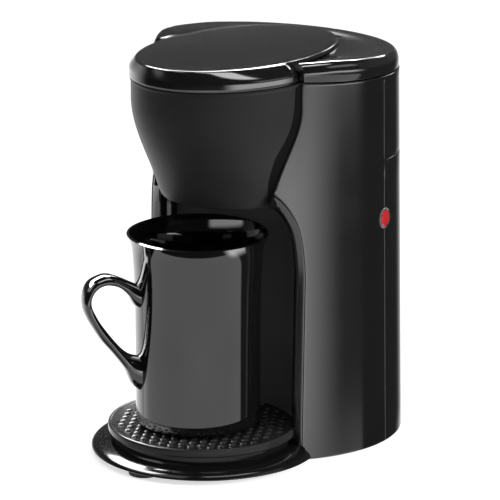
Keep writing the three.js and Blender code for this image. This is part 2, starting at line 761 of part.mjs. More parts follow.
// ---------------------------------------------------------------- lid
// The lid's skirt hangs down over the head in front, and stops at the waist.
const lidWaistY = waistY - 0.6;
const skirtHalf = headTopHalf + headFlange - skirtInset;
const skirtReach = headTopReach + headFlange - skirtInset;
const skirtEndAngle = Math.asin((lidWaistY - lidY) / lidReach);
const skirtFootEndAngle = Math.asin((lidWaistY - headY) / skirtReach);
function lidSkirtFoot(edgeAngle) {
  const quarter = Math.PI / 2;
  const a = -quarter + ((edgeAngle + quarter) * (quarter + skirtFootEndAngle)) / (quarter + skirtEndAngle);
  return at(skirtHalf * Math.cos(a), headY + skirtReach * Math.sin(a), seamHeight + seamGap);
}
const lidAngles = [];
const skirtSteps = 28;
const rearSteps = 24;
for (let i = 0; i <= skirtSteps; i++)
  lidAngles.push(lerp(skirtEndAngle, -Math.PI - skirtEndAngle, i / skirtSteps));
for (let i = 0; i <= rearSteps; i++)
  lidAngles.push(lerp(-Math.PI - skirtEndAngle - 0.004, -2 * Math.PI + skirtEndAngle + 0.004, i / rearSteps));
const isSkirt = (i) => i <= skirtSteps;

const lidRing = (scale, drop, dome) =>
  lidAngles.map((a) => {
    const y = lidY + scale * lidReach * Math.sin(a);
    return at(scale * lidHalf * Math.cos(a), y, lidEdgeAt(y) - drop + dome * (1 - scale * scale));
  });
// A ring part of the way from the top edge (0) to the skirt's foot (1), moved inwards by inset.
function lidSideRing(part, inset) {
  return lidRing(1, 0, 0).map((edge, i) => {
    const n = at(edge.x / lidHalf ** 2, (edge.y - lidY) / lidReach ** 2, 0).normalize();
    if (!isSkirt(i)) {
      const low = edge.z - lidEdge * part;
      const z = inset ? Math.min(low, edge.z - 1.5) : low;
      return edge.clone().addScaledVector(n, 0.3 * part - inset).setZ(z);
    }
    const foot = lidSkirtFoot(lidAngles[i]);
    const sweep = Math.sin((Math.min(1, part / 0.62) * Math.PI) / 2);
    const fall = part < 0.62 ? (1 - Math.cos(((part / 0.62) * Math.PI) / 2)) * 0.62 : part;
    const p = edge.clone().lerp(foot, sweep);
    p.z = lerp(edge.z, foot.z, fall);
    return p.addScaledVector(n, -inset).setZ(inset ? Math.min(p.z, edge.z - 1.5) : p.z);
  });
}
const lidSections = [
  lidRing(0.2, 0, lidDome),
  lidRing(0.6, 0, lidDome),
  lidRing(0.86, 0, lidDome),
  lidSideRing(0, 0),
  lidSideRing(0.2, 0),
  lidSideRing(0.4, 0),
  lidSideRing(0.62, 0),
  lidSideRing(1, 0),
  lidSideRing(1, lidWall),
  lidSideRing(0.55, lidWall),
  lidSideRing(0.3, lidWall),
  lidRing(0.93, 1.5, 0.6 * lidDome),
  lidRing(0.4, 1.5, 0.6 * lidDome),
  lidRing(0.3, 1.9, 0.6 * lidDome),
];
const hingeAxis = (half) => [at(-half, hingeY, hingeZ), at(half, hingeY, hingeZ)];
const lidUnderTip = lidEdgeAt(hingeY) - 1.2;
const knuckle = rod(...hingeAxis(knuckleHalf), knuckleRadius, 20)
  .add(box(-knuckleHalf, knuckleHalf, hingeY - knuckleRadius, hingeY + 1.6, hingeZ, lidUnderTip))
  .subtract(rod(...hingeAxis(knuckleHalf + 1), pinRadius + pinClearance, 20));
piece("lid_shell", loft(lidSections).add(knuckle), glossBlack);

// Inner lid panel, held to the lid by three posts.
const linerInset = 9;
const linerTop = lidEdgeHeight - 4.2;
const linerOutline = (inset) =>
  arc(35, 0, 2 * Math.PI * (35 / 36), (a) => [
    (lidHalf - inset) * Math.cos(a),
    lidY + (lidReach - inset) * Math.sin(a),
  ]);
let liner = prism(linerOutline(linerInset), linerTop - 1.6, linerTop).add(
  prism(linerOutline(linerInset), linerTop - 4, linerTop - 1).subtract(
    prism(linerOutline(linerInset + 1.6), linerTop - 5, linerTop),
  ),
);
const linerPosts = [
  [24, lidY - 23.4],
  [-24, lidY - 23.4],
  [0, lidY + 40.6],
];
for (const [x, y] of linerPosts) {
  const ceiling = lidEdgeAt(y) - 1.5 - gap;
  liner = liner.add(rod(at(x, y, linerTop - 1), at(x, y, ceiling), 3, 12));
}
piece("lid_liner", liner, innerGrey);

// Hinge bracket under the rear cover, and its pin.
const bracketBase = hingeZ - 5.4;
const bracketHalf = 24;
const ear = rod(at(earInner, hingeY, hingeZ), at(earOuter, hingeY, hingeZ), earRadius, 28)
  .add(box(earInner, earOuter, hingeY - earRadius, hingeY + earRadius, bracketBase - 1, hingeZ));
const bracket = box(-bracketHalf, bracketHalf, hingeY - 5, hingeY + 4.6, bracketBase - 2.2, bracketBase)
  .add(ear)
  .add(mirrored(ear))
  .subtract(rod(...hingeAxis(earOuter + 1), pinRadius + gap, 20));
piece("hinge_bracket", bracket, innerGrey);
piece("hinge_pin", rod(...hingeAxis(earOuter), pinRadius, 20), steel);

// ---------------------------------------------------------------- deck, filter and spout
const bodyDeck = turned(
  [[0, deckHeight], [bodyTopRadius - wall - 2.6, deckHeight],
    [bodyTopRadius - wall - 2.6, deckHeight + deckThickness], [0, deckHeight + deckThickness]],
  0,
  bodyY,
  48,
).subtract(box(-far, far, -far, headBackY + 6, 0, tall));
const headDeck = loft([
  headSection(deckHeight - 3, headWall + gap + 0.2, deckHeight),
  headSection(deckHeight - 3, headWall + gap + 0.2, deckHeight + deckThickness),
]);
const deckJoinHalf = headTopHalf - 6.6;
const deckTop = deckHeight + deckThickness;
const deckJoin = box(-deckJoinHalf, deckJoinHalf, headBackY - 8, headBackY + 10, deckHeight, deckTop);
const underDeck = deckHeight - 5;
const overDeck = deckTop + 5;
const filterHole = rod(at(0, filterY, underDeck), at(0, filterY, overDeck), filterTopRadius + 0.6, 40);
const fillY = tankFrontY + 17;
const fillOutline = arc(23, 0, 2 * Math.PI * (23 / 24), (a) => [30 * Math.cos(a), fillY + 14 * Math.sin(a)]);
const riserHole = rod(at(riserX, riserY, underDeck), at(riserX, riserY, overDeck), hoseRadius + 0.6, 20);
piece(
  "top_deck",
  bodyDeck.add(headDeck).add(deckJoin).subtract(filterHole)
    .subtract(prism(fillOutline, underDeck, overDeck)).subtract(riserHole),
  innerGrey,
);

const flangeZ = deckTop + gap;
const holderFloor = chinHeight + holderRise;
const coneStep = holderFloor + 18; // where the cone gets steeper
const nozzleRadius = 5.4;
piece(
  "filter_holder",
  turned(
    [
      [nozzleRadius - 2, chinHeight + 0.6],
      [nozzleRadius, chinHeight + 0.6],
      [nozzleRadius, holderFloor - 6],
      [17, holderFloor],
      [26, coneStep],
      [filterTopRadius, deckHeight - 1],
      [filterTopRadius, flangeZ],
      [filterFlangeRadius, flangeZ],
      [filterFlangeRadius, flangeZ + 1.6],
      [filterTopRadius - 1.8, flangeZ + 1.6],
      [filterTopRadius - 1.8, deckHeight - 1],
      [24.2, coneStep + 0.4],
      [15.2, holderFloor + 1.2],
      [nozzleRadius - 2, holderFloor - 3.6],
      [nozzleRadius - 2, chinHeight + 0.6],
    ],
    0,
    filterY,
    40,
  ),
  satinBlack,
);

// Permanent filter: a rim with a grip, and a mesh cone inside it.
const rimInner = filterTopRadius - 4.4;
const rimZ = flangeZ + 1.6 + gap;
const filterRim = turned(
  [
    [rimInner, rimZ - 4],
    [filterTopRadius - 2.2, rimZ - 4],
    [filterTopRadius - 2.2, rimZ],
    [filterTopRadius + 1, rimZ],
    [filterTopRadius + 1, rimZ + 1.4],
    [rimInner, rimZ + 1.4],
    [rimInner, rimZ - 4],
  ],
  0,
  filterY,
  36,
);
const grip = box(-14, 14, filterY - 1, filterY + 1, rimZ - 0.6, rimZ + 4.4);
const gripBar = box(-rimInner - 0.6, rimInner + 0.6, filterY - 1.6, filterY + 1.6, rimZ - 1.6, rimZ - 0.2);
piece("filter_rim", filterRim.add(gripBar).add(grip), satinBlack);
piece(
  "filter_mesh",
  turned(
    [
      [0, holderFloor + 2.4],
      [13, holderFloor + 2.4],
      [22.6, coneStep + 2],
      [rimInner - 0.6, rimZ - 6],
      [rimInner - 0.3, rimZ - 4.3],
      [rimInner + 1.6, rimZ - 4.3],
      [rimInner + 1.6, rimZ - 5.1],
      [rimInner + 0.4, rimZ - 6],
      [23.4, coneStep + 1.4],
      [13.8, holderFloor + 1.6],
      [0, holderFloor + 1.6],
    ],
    0,
    filterY,
    32,
  ),
  steel,
);

const spoutZ = flangeZ + 3.2 + 3.4;
const spoutTip = [4, filterY + 22];
piece(
  "spout",
  hose(
    [[riserX, riserY, flangeZ - 0.1], [riserX, riserY, spoutZ - 2], [riserX - 3, riserY - 3, spoutZ],
      [lerp(riserX, spoutTip[0], 0.6), lerp(riserY, spoutTip[1], 0.6), spoutZ],
      [spoutTip[0], spoutTip[1], spoutZ]],
    2.6,
    14,
    8,
  ).add(rod(at(riserX, riserY, flangeZ), at(riserX, riserY, flangeZ + 1.4), 7, 20)),
  silicone,
);

// ---------------------------------------------------------------- water side
const tankOutline = (inset) => {
  const r = tankBackRadius - inset;
  const half = tankHalf - inset;
  const start = Math.acos(half / r);
  const back = arc(24, start, Math.PI - start, (a) => [r * Math.cos(a), bodyY + r * Math.sin(a)]);
  const corner = 6;
  return [
    ...back,
    [-half, tankFrontY + inset + corner],
    [-half + corner, tankFrontY + inset],
    [half - corner, tankFrontY + inset],
    [half, tankFrontY + inset + corner],
  ];
};
const outletX = -heaterHalf;
const tankOutletY = bodyY + 44.7;
const tankOutletRadius = 4;
const onOutletAxis = (z) => at(outletX, tankOutletY, z);
const tankOutlet = rod(onOutletAxis(tankBottom - 5), onOutletAxis(tankBottom + 5), tankOutletRadius, 24);
piece(
  "water_tank",
  prism(tankOutline(0), tankBottom, tankTop)
    .subtract(prism(tankOutline(tankWall), tankBottom + tankWall, tankTop + 1))
    .subtract(tankOutlet),
  clearGrey,
);

// The shelf carries the tank; three posts carry the shelf.
const shelfRadius = bodyRadiusAt(shelfHeight) - wall - gap - 0.15;
let shelf = turned(
  [[0, shelfHeight], [shelfRadius, shelfHeight], [shelfRadius, shelfTop], [0, shelfTop]],
  0,
  bodyY,
  48,
).subtract(box(-far, far, -far, tankFrontY - 1, 0, tall));
for (const [, x, y] of screwPlaces.slice(0, 3))
  shelf = shelf
    .add(rod(at(x, y, coverPlateTop + gap), at(x, y, shelfHeight + 1), 4, 20))
    .subtract(rod(at(x, y, 0), at(x, y, coverPlateTop + 10), screwRadius + gap + 0.1, 10));
const valveRadius = 6;
const wireHoleX = bodyRadius - 14.2;
const wireHoleY = bodyY + 16.7;
const throughShelf = (x, y, radius, segments) =>
  rod(at(x, y, shelfHeight - 5), at(x, y, shelfTop + 5), radius, segments);
shelf = shelf
  .subtract(throughShelf(outletX, tankOutletY, valveRadius + gap + 0.1, 20))
  .subtract(throughShelf(wireHoleX, wireHoleY, 3, 12));
piece("tank_shelf", shelf, innerGrey);

// Seal and check valve under the tank's outlet.
const ring = (x, y, z0, z1, outer, inner, segments = 20) =>
  turned([[inner, z0], [outer, z0], [outer, z1], [inner, z1], [inner, z0]], x, y, segments);
const sealTop = tankBottom - gap;
const sealBottom = sealTop - 1.6;
piece("tank_seal", ring(outletX, tankOutletY, sealBottom, sealTop, valveRadius, 2.6), softBlack);
const valveBodyTop = sealBottom - gap;
const valveBottom = valveBodyTop - 9;
piece(
  "check_valve",
  ring(outletX, tankOutletY, valveBottom + 3, valveBodyTop, valveRadius, 2.4).add(
    ring(outletX, tankOutletY, valveBottom, valveBottom + 4, 3.4, 2.4),
  ),
  innerGrey,
);

// Heater: a U of cast aluminium round the water tube and the heating rod.
const heaterEndY = bodyY + 36.7;
const heaterBendY = heaterEndY - 14;
const bend = arc(8, Math.PI, 2 * Math.PI, (a) => [
  heaterHalf * Math.cos(a),
  heaterBendY + 18 * Math.sin(a),
  heaterHeight,
]);
const armMiddleY = (heaterEndY + heaterBendY) / 2;
piece(
  "heater",
  hose(
    [
      [-heaterHalf, heaterEndY, heaterHeight],
      [-heaterHalf, armMiddleY, heaterHeight],
      ...bend,
      [heaterHalf, armMiddleY, heaterHeight],
      [heaterHalf, heaterEndY, heaterHeight],
    ],
    heaterRadius,
    26,
    12,
  ),
  aluminium,
);
const clampHalf = 8;
const clampZ = heaterHeight + heaterRadius + gap;
const strap = box(-clampHalf, clampHalf, heaterBendY - 31, heaterBendY - 5, clampZ, clampZ + 1.4);
const clampPost = (y) => rod(at(0, y, coverPlateTop + gap), at(0, y, clampZ + 1), 3.6, 20);
piece("heater_clamp", strap.add(clampPost(heaterBendY - 30.5)).add(clampPost(heaterBendY - 5)), steel);
const thermostatZ = clampZ + 1.4 + gap;
piece(
  "thermostat",
  rod(at(0, heaterBendY - 18, thermostatZ), at(0, heaterBendY - 18, thermostatZ + 5), 7, 28)
    .add(box(-2.6, -1.6, heaterBendY - 20, heaterBendY - 16, thermostatZ + 4, thermostatZ + 8))
    .add(box(1.6, 2.6, heaterBendY - 20, heaterBendY - 16, thermostatZ + 4, thermostatZ + 8)),
  steel,
);
piece(
  "thermal_fuse",
  rod(at(-19.5, heaterBendY - 14, clampZ + 1.9), at(-23.6, heaterBendY - 5, clampZ + 1.9), 1.9, 16),
  silicone,
);

// Hoses run from the valve to the heater, and from the heater up to the spout.
const hoseStartY = heaterEndY + gap;
piece(
  "cold_hose",
  hose(
    [[outletX, hoseStartY, heaterHeight], [outletX, hoseStartY + 1.6, heaterHeight],
      [outletX, tankOutletY - 1.8, heaterHeight + 2.4], [outletX, tankOutletY, heaterHeight + 7],
      [outletX, tankOutletY, valveBottom - gap]],
    hoseRadius,
    24,
  ),
  silicone,
);
const returnZ = heaterHeight + 13.5;
piece(
  "hot_hose",
  hose(
    [[heaterHalf, hoseStartY, heaterHeight], [heaterHalf, hoseStartY + 2.5, heaterHeight],
      [heaterHalf + 0.5, heaterEndY + 10, heaterHeight + 6.5],
      [heaterHalf + 1, heaterEndY + 4, returnZ - 0.8],
      [heaterHalf + 2, heaterEndY - 6, returnZ], [riserX, riserY + 16, returnZ],
      [riserX, riserY + 8, returnZ],
      [riserX, riserY + 1.8, returnZ + 3], [riserX, riserY, returnZ + 9], [riserX, riserY, returnZ + 20],
      [riserX, riserY, lerp(shelfTop, deckHeight, 0.5)], [riserX, riserY, flangeZ - gap - 0.2]],
    hoseRadius,
    44,
  ),
  silicone,
);

// ---------------------------------------------------------------- switch, button and wiring
const ringOut = 0.8;
const ringDepth = 5;
const ringBack = onButtonAxis(buttonFace - ringDepth);
const ringBody = rod(ringBack, onButtonAxis(buttonFace + ringOut), buttonRingRadius, 32)
  .subtract(rod(onButtonAxis(buttonFace - 12), onButtonAxis(buttonFace + 5), buttonRadius + gap, 24));
piece("button_ring", ringBody, steel);
const buttonTravel = 2;
const lensBack = buttonFace - ringDepth - 1;
const crownBase = onButtonAxis(buttonFace + 0.1);
const crownTop = onButtonAxis(buttonFace + 0.9);
const buttonSolid = rod(onButtonAxis(lensBack), onButtonAxis(buttonFace + 0.2), buttonRadius, 24)
  .add(rod(crownBase, crownTop, buttonRadius - 0.05, 24, buttonRadius * 0.6))
  .add(rod(onButtonAxis(lensBack - 4), onButtonAxis(lensBack + 1), 1.8, 12));
piece("power_button", buttonSolid, redLens);
const switchFront = lensBack - buttonTravel - gap;
const switchBack = switchFront - 12;
const switchHalf = 6;
function switchBox(r0, r1, half, tall) {
  const geometry = new THREE.BoxGeometry(r1 - r0, 2 * half, 2 * tall);
  geometry.rotateZ(buttonAngle);
  const middle = onButtonAxis((r0 + r1) / 2);
  return solid(geometry.translate(middle.x, middle.y, middle.z));
}
const lampRise = at(0, 0, 5); // lamp's place in the switch, above the button's axis
piece(
  "power_switch",
  switchBox(switchBack, switchFront, switchHalf, 8)
    .subtract(rod(onButtonAxis(switchFront - 5), onButtonAxis(switchFront + 1), 2.1 + gap, 20))
    .subtract(
      rod(onButtonAxis(switchFront - 2).add(lampRise), onButtonAxis(switchFront + 2).add(lampRise), 1.5, 16),
    ),
  innerGrey,
);
piece(
  "indicator_lamp",
  rod(onButtonAxis(switchFront - 1.6).add(lampRise), onButtonAxis(switchFront + 0.05).add(lampRise), 1.2, 14),
  amber,
);

const glandBody = rod(onGlandAxis(glandFace - 6), onGlandAxis(glandFace + 3), glandRadius, 20)
  .add(rod(onGlandAxis(glandFace + gap), onGlandAxis(glandFace + 1.8), glandRadius + 2.4, 20))
  .add(rod(onGlandAxis(glandFace - 6), onGlandAxis(glandFace - wall - gap - 0.6), glandRadius + 1.4, 20))
  .subtract(rod(onGlandAxis(glandFace - 10), onGlandAxis(glandFace + 6), 3.2, 16));
piece("cord_gland", glandBody, softBlack);

const terminalX = -14;
const terminalY = bodyY + 38.7;
const terminalBottom = coverPlateTop + gap;
const terminalTop = terminalBottom + 11;
const terminalHole = (x) =>
  rod(at(terminalX + x, terminalY, terminalTop - 5), at(terminalX + x, terminalY, terminalTop + 2), 2, 14);
piece(
  "terminal_block",
  box(terminalX - 9, terminalX + 9, terminalY - 6, terminalY + 6, terminalBottom, terminalTop)
    .subtract(terminalHole(-4.5))
    .subtract(terminalHole(4.5)),
  innerGrey,
);
const wireRadius = 1.1;
const wireLow = coverPlateTop + 5.6;
const switchEnd = onButtonAxis((switchBack + switchFront) / 2);
piece(
  "switch_wire",
  hose(
    [
      [terminalX + 9 + gap, terminalY + 2, wireLow],
      [terminalX + 13, terminalY + 2, wireLow],
      [14, terminalY + 6, wireLow + 1],
      [32, terminalY + 9, wireLow + 4],
      [49, terminalY + 1, wireLow + 10],
      [wireHoleX - 1, wireHoleY + 10, lerp(wireLow, shelfHeight, 0.6)],
      [wireHoleX, wireHoleY, shelfHeight - 4.5],
      [wireHoleX, wireHoleY, shelfTop + 5],
      [lerp(wireHoleX, switchEnd.x, 0.2), lerp(wireHoleY, switchEnd.y, 0.7), buttonHeight - 39],
      [switchEnd.x, switchEnd.y, buttonHeight - 12],
      [switchEnd.x, switchEnd.y, buttonHeight - 8 - gap],
    ],
    wireRadius,
    30,
    6,
  ),
  wireBrown,
);
piece(
  "heater_wire",
  hose(
    [
      [terminalX + 9 + gap, terminalY - 2, wireLow],
      [terminalX + 12.5, terminalY - 2, wireLow],
      [3, terminalY - 6, wireLow + 10],
      [4, terminalY - 14, wireLow + 24],
      [2.1, heaterBendY - 8, thermostatZ + 6.6],
      [2.1, heaterBendY - 16 + gap, thermostatZ + 6.6],
    ],
    wireRadius,
    18,
    6,
  ),
  wireBlue,
);

for (const [name, x, y] of screwPlaces) {
  const headTop = coverPlateHeight + 0.8 - gap;
  const length = name.startsWith("body") ? 8 : 2.4;
  piece(
    name,
    rod(at(x, y, headTop - 1.5), at(x, y, headTop), screwHeadRadius, 14)
      .add(rod(at(x, y, headTop - 0.5), at(x, y, headTop + length), screwRadius, 8)),
    steel,
  );
}

export default group;
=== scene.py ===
"""A one-cup drip coffee maker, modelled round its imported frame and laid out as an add-on."""

import json
from math import acos, asin, copysign, cos, hypot, pi, radians, sin, sqrt

import bmesh
import bpy
from bpy.props import FloatProperty, FloatVectorProperty, PointerProperty
from mathutils import Matrix, Vector
from mathutils.kdtree import KDTree


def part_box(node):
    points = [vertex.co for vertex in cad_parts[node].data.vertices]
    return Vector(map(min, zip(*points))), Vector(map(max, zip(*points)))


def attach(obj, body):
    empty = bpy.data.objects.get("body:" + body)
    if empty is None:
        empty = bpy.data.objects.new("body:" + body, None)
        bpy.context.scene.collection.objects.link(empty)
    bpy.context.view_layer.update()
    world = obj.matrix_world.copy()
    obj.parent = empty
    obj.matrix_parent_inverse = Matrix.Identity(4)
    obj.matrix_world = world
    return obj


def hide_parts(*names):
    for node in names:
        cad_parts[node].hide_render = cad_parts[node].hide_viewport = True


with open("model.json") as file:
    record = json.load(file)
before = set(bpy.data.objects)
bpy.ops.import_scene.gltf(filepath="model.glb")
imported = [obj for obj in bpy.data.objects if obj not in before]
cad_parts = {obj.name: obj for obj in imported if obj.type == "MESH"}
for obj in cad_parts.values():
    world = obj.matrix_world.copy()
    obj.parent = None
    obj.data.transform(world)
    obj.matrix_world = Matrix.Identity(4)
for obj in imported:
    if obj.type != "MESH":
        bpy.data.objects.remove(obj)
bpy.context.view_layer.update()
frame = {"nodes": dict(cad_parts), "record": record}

bl_info = {
    "name": "Drip coffee maker",
    "version": (1, 0, 0),
    "blender": (4, 5, 0),
    "location": "View3D > Sidebar > Coffee maker",
    "description": "Models a one-cup drip coffee maker with its mug round a packed frame",
    "category": "Object",
}

MM = 0.001
side_low, side_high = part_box("side_shell_right")
panel_low, panel_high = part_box("rear_panel_lower")
head_low, head_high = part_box("head_shell")
cover_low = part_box("rear_cover")[0]
alcove_low, alcove_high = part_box("alcove_panel")
foot_low, foot_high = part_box("foot_shell")
plate_low, plate_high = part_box("cup_plate")
mug_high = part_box("mug")[1]
ring_low, ring_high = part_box("button_ring")
gland_low, gland_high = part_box("cord_gland")
pin_low, pin_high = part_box("hinge_pin")

# Middles along Y of the round pieces, and the places of the waist, the hollow and the hinge pin
BODY_Y = panel_high.y - side_high.x
FOOT_Y = foot_low.y + foot_high.x
PLATE_Y = plate_low.y + plate_high.x
MUG_RIM = 38.8 * MM
MUG_X = mug_high.x - MUG_RIM
MUG_Y = PLATE_Y - 2.9 * MM
WAIST_Y = BODY_Y - 42.9 * MM
ALCOVE_RADIUS = 58 * MM
ALCOVE_Y = alcove_high.y - 2 * MM - ALCOVE_RADIUS
PIN_Y = (pin_low.y + pin_high.y) / 2
PIN_Z = (pin_low.z + pin_high.z) / 2


# ---------------------------------------------------------------- sizes and colours a user may change
def length_prop(name, description, default):
    return FloatProperty(name=name, description=description, default=default, unit="LENGTH")


def angle_prop(name, description, default):
    return FloatProperty(name=name, description=description, default=default, subtype="ANGLE")


def colour_prop(name, description, default):
    return FloatVectorProperty(name=name, description=description, default=default, subtype="COLOR")


class BodySizes(bpy.types.PropertyGroup):
    """The round rear body."""

    bottom_radius: length_prop("Bottom radius", "Radius of the body at the table", side_high.x)
    top_radius: length_prop("Top radius", "Radius of the body at the top joint", 68 * MM)
    top: length_prop("Top joint", "Height of the top joint at the waist", side_high.z)
    slope: FloatProperty(name="Joint slope", description="Fall of the top joint to the back", default=0.066)
    wall: length_prop("Wall", "Thickness of the shells", 2.4 * MM)
    panel_angle: angle_prop("Panel angle", "Where the rear panels start", radians(7.6))
    panel_split: length_prop("Panel split", "Drop from the top joint to the rear joint", 46.6 * MM)
    joint: length_prop("Joint", "Width of the joint lines", 0.3 * MM)
    edge: length_prop("Edge", "Rounding of the shells' edges", 0.35 * MM)


class HeadSizes(bpy.types.PropertyGroup):
    """The brew head."""

    middle: length_prop("Middle", "Oval's middle along Y", -10.8 * MM)
    flare_half: length_prop("Flare half width", "Where the flare starts", 39.2 * MM)
    flare_reach: length_prop("Flare reach", "Where the flare starts", 38.2 * MM)
    top_half: length_prop("Top half width", "At the top", 50.5 * MM)
    top_reach: length_prop("Top reach", "Front of the top", 62.6 * MM)
    flange: length_prop("Flange", "Lip round the top", 0.6 * MM)
    wall: length_prop("Wall", "Thickness of the head", 2.2 * MM)
    rounding: length_prop("Rounding", "Under the chin", 2.2 * MM)


class LidSizes(bpy.types.PropertyGroup):
    """The oval lid and the cover behind it."""

    half: length_prop("Half width", "Of the oval edge", 43.9 * MM)
    reach: length_prop("Reach", "Half the oval's length", 68.9 * MM)
    middle: length_prop("Middle", "Oval's middle along Y", -6.6 * MM)
    rise: length_prop("Rise", "Oval above the top joint", 10.9 * MM)
    slope: FloatProperty(name="Slope", description="Fall of the oval to the back", default=0.0175)
    dome: length_prop("Dome", "Rise of the lid's middle", 2.5 * MM)
    crease: length_prop("Crease", "Rounding of the oval edge", 0.7 * MM)
    cover_rise: length_prop("Cover rise", "Rear cover's corner", 10.8 * MM)
    cover_round: length_prop("Cover rounding", "Height of its rim", 6 * MM)
    cover_slope: FloatProperty(name="Cover slope", description="Fall of its rim to the back", default=0.09)


class TableSizes(bpy.types.PropertyGroup):
    """The foot, the cup plate and the mug."""

    foot_radius: length_prop("Foot radius", "Of the foot's rim", foot_high.x)
    plate_radius: length_prop("Plate radius", "Of the plate", plate_high.x)
    bump_pitch: length_prop("Bump pitch", "From bump to bump", 6.3 * MM)
    bump_radius: length_prop("Bump radius", "Of one bump", 2.1 * MM)
    bump_height: length_prop("Bump height", "Of one bump", 0.8 * MM)
    handle_turn: angle_prop("Handle turn", "Way the handle points", radians(236.6))
    handle_width: length_prop("Handle width", "Of its strap", 12 * MM)


class Finishes(bpy.types.PropertyGroup):
    """Colours and gloss."""

    gloss_black: colour_prop("Gloss black", "Body, lid and foot", (0.006, 0.006, 0.0065))
    satin_black: colour_prop("Satin black", "Head, trims and panel", (0.02, 0.02, 0.021))
    glaze_black: colour_prop("Glaze black", "Mug", (0.004, 0.004, 0.0045))
    lens_red: colour_prop("Lens red", "Push button", (0.36, 0.016, 0.02))
    gloss: FloatProperty(name="Gloss roughness", description="Of the body", default=0.1, subtype="FACTOR")
    satin: FloatProperty(name="Satin roughness", description="Of the head", default=0.44, subtype="FACTOR")


class StageSettings(bpy.types.PropertyGroup):
    """Floor, lights and camera."""

    floor: colour_prop("Floor", "Colour", (0.9, 0.9, 0.9))
    turn: angle_prop("Turn", "Camera's turn", radians(38.55))
    tilt: angle_prop("Tilt", "Camera's tilt", radians(18.69))
    lens: FloatProperty(name="Lens", description="Focal length", default=297.27, unit="CAMERA")
    ambient: FloatProperty(name="Ambient", description="Strength of the room's light", default=0.3)


GROUPS = {
    "maker_body": BodySizes,
    "maker_head": HeadSizes,
    "maker_lid": LidSizes,
    "maker_table": TableSizes,
    "maker_finish": Finishes,
    "maker_stage": StageSettings,
}


# ---------------------------------------------------------------- small helpers
def lerp(a, b, t):
    return a + (b - a) * t


def smooth(value, low, high):
    t = min(1, max(0, (value - low) / (high - low)))
    return t * t * (3 - 2 * t)


def read(table, key):
    """Value of a table of (key, value) rows at a key between them."""
    if key <= table[0][0]:
        return table[0][1]
    for (k0, v0), (k1, v1) in zip(table, table[1:]):
        if key <= k1:
            return lerp(v0, v1, (key - k0) / (k1 - k0))
    return table[-1][1]


def spread(points, count):
    """Count points at even steps along a smooth line through the given pairs."""
    points = [Vector(point) for point in points]
    fine = []
    padded = [points[0], *points, points[-1]]
    for a, b, c, d in zip(padded, padded[1:], padded[2:], padded[3:]):
        for step in range(12):
            t = step / 12
            square = (2 * a - 5 * b + 4 * c - d) * t * t
            cube = (3 * b - a - 3 * c + d) * t ** 3
            fine.append(0.5 * ((2 * b) + (c - a) * t + square + cube))
    fine.append(points[-1])
    lengths = [0.0]
    for a, b in zip(fine, fine[1:]):
        lengths.append(lengths[-1] + (b - a).length)
    picked = []
    at = 0
    for i in range(count):
        goal = lengths[-1] * i / (count - 1)
        while at < len(fine) - 2 and lengths[at + 1] < goal:
            at += 1
        span = lengths[at + 1] - lengths[at]
        picked.append(fine[at].lerp(fine[at + 1], (goal - lengths[at]) / span if span else 0))
    return picked


def quarter(r, z, radius, start, end, steps):
    """Points of an arc in a profile, from one angle in degrees to another."""
    angles = [radians(lerp(start, end, i / steps)) for i in range(steps + 1)]
    return [(r + radius * cos(a), z + radius * sin(a)) for a in angles]


def deselect():
    if bpy.context.mode != "OBJECT":
        bpy.ops.object.mode_set(mode="OBJECT")
    bpy.ops.object.select_all(action="DESELECT")


def start(name, add, **settings):
    """Adds a primitive with nothing else selected and opens it in edit mode, all selected."""
    deselect()
    add(**settings)
    piece = bpy.context.active_object
    piece.name = name
    piece.data.name = name
    bpy.ops.object.transform_apply(location=True, rotation=True, scale=True)
    bpy.ops.object.mode_set(mode="EDIT")
    bpy.ops.mesh.select_mode(type="VERT")
    bpy.ops.mesh.select_all(action="SELECT")
    return piece


def pick(piece, chosen):
    """Selects the vertices of the open mesh for which chosen says so, and nothing else."""
    bpy.ops.mesh.select_all(action="DESELECT")
    mesh = bmesh.from_edit_mesh(piece.data)
    for vertex in mesh.verts:
        if chosen(vertex.co):
            vertex.select = True
    mesh.select_flush(True)
    bmesh.update_edit_mesh(piece.data)


def close_up(piece):
    """Merges doubles, turns the faces outwards and leaves edit mode."""
    bpy.ops.mesh.select_all(action="SELECT")
    bpy.ops.mesh.remove_doubles(threshold=0.005 * MM)
    bpy.ops.mesh.normals_make_consistent(inside=False)
    bpy.ops.object.mode_set(mode="OBJECT")
    return piece


def reshape(piece, rule, grow=False):
    """Moves the open mesh's vertices by a rule: all of them, or those of a fresh extrusion."""
    if grow:
        bpy.ops.mesh.extrude_region_move()
    mesh = bmesh.from_edit_mesh(piece.data)
    for vertex in mesh.verts:
        if vertex.select or not grow:
            vertex.co = rule(vertex.co)
    bmesh.update_edit_mesh(piece.data)


def dome(piece, face, way, radius, height, steps):
    """Grows a dome on the picked end: a share of the radius and of the height for each step."""

    def rule(co):
        out = co - face
        return face + (out - way * out.dot(way)).normalized() * radius * share + way * rise * height

    for share, rise in steps:
        reshape(piece, rule, grow=True)


def finder(points):
    """Looks up the nearest of some points."""
    tree = KDTree(len(points))
    for i, point in enumerate(points):
        tree.insert(point, i)
    tree.balance()
    return tree.find


def draw(name, rings):
    """Draws a skin: a circle for the first ring, extruded once for each ring that follows."""
    piece = start(name, bpy.ops.mesh.primitive_circle_add, vertices=len(rings[0]), radius=1)
    first = iter(rings[0])
    reshape(piece, lambda co: next(first))
    for before, after in zip(rings, rings[1:]):
        find = finder(before)
        reshape(piece, lambda co: after[find(co)[1]], grow=True)
    return piece


def fill(piece, ring, fan=False):
    """Closes the open mesh with a face across a ring."""
    find = finder(ring)
    pick(piece, lambda co: find(co)[2] < 0.002 * MM)
    bpy.ops.mesh.edge_face_add()
    if fan:
        bpy.ops.mesh.poke()


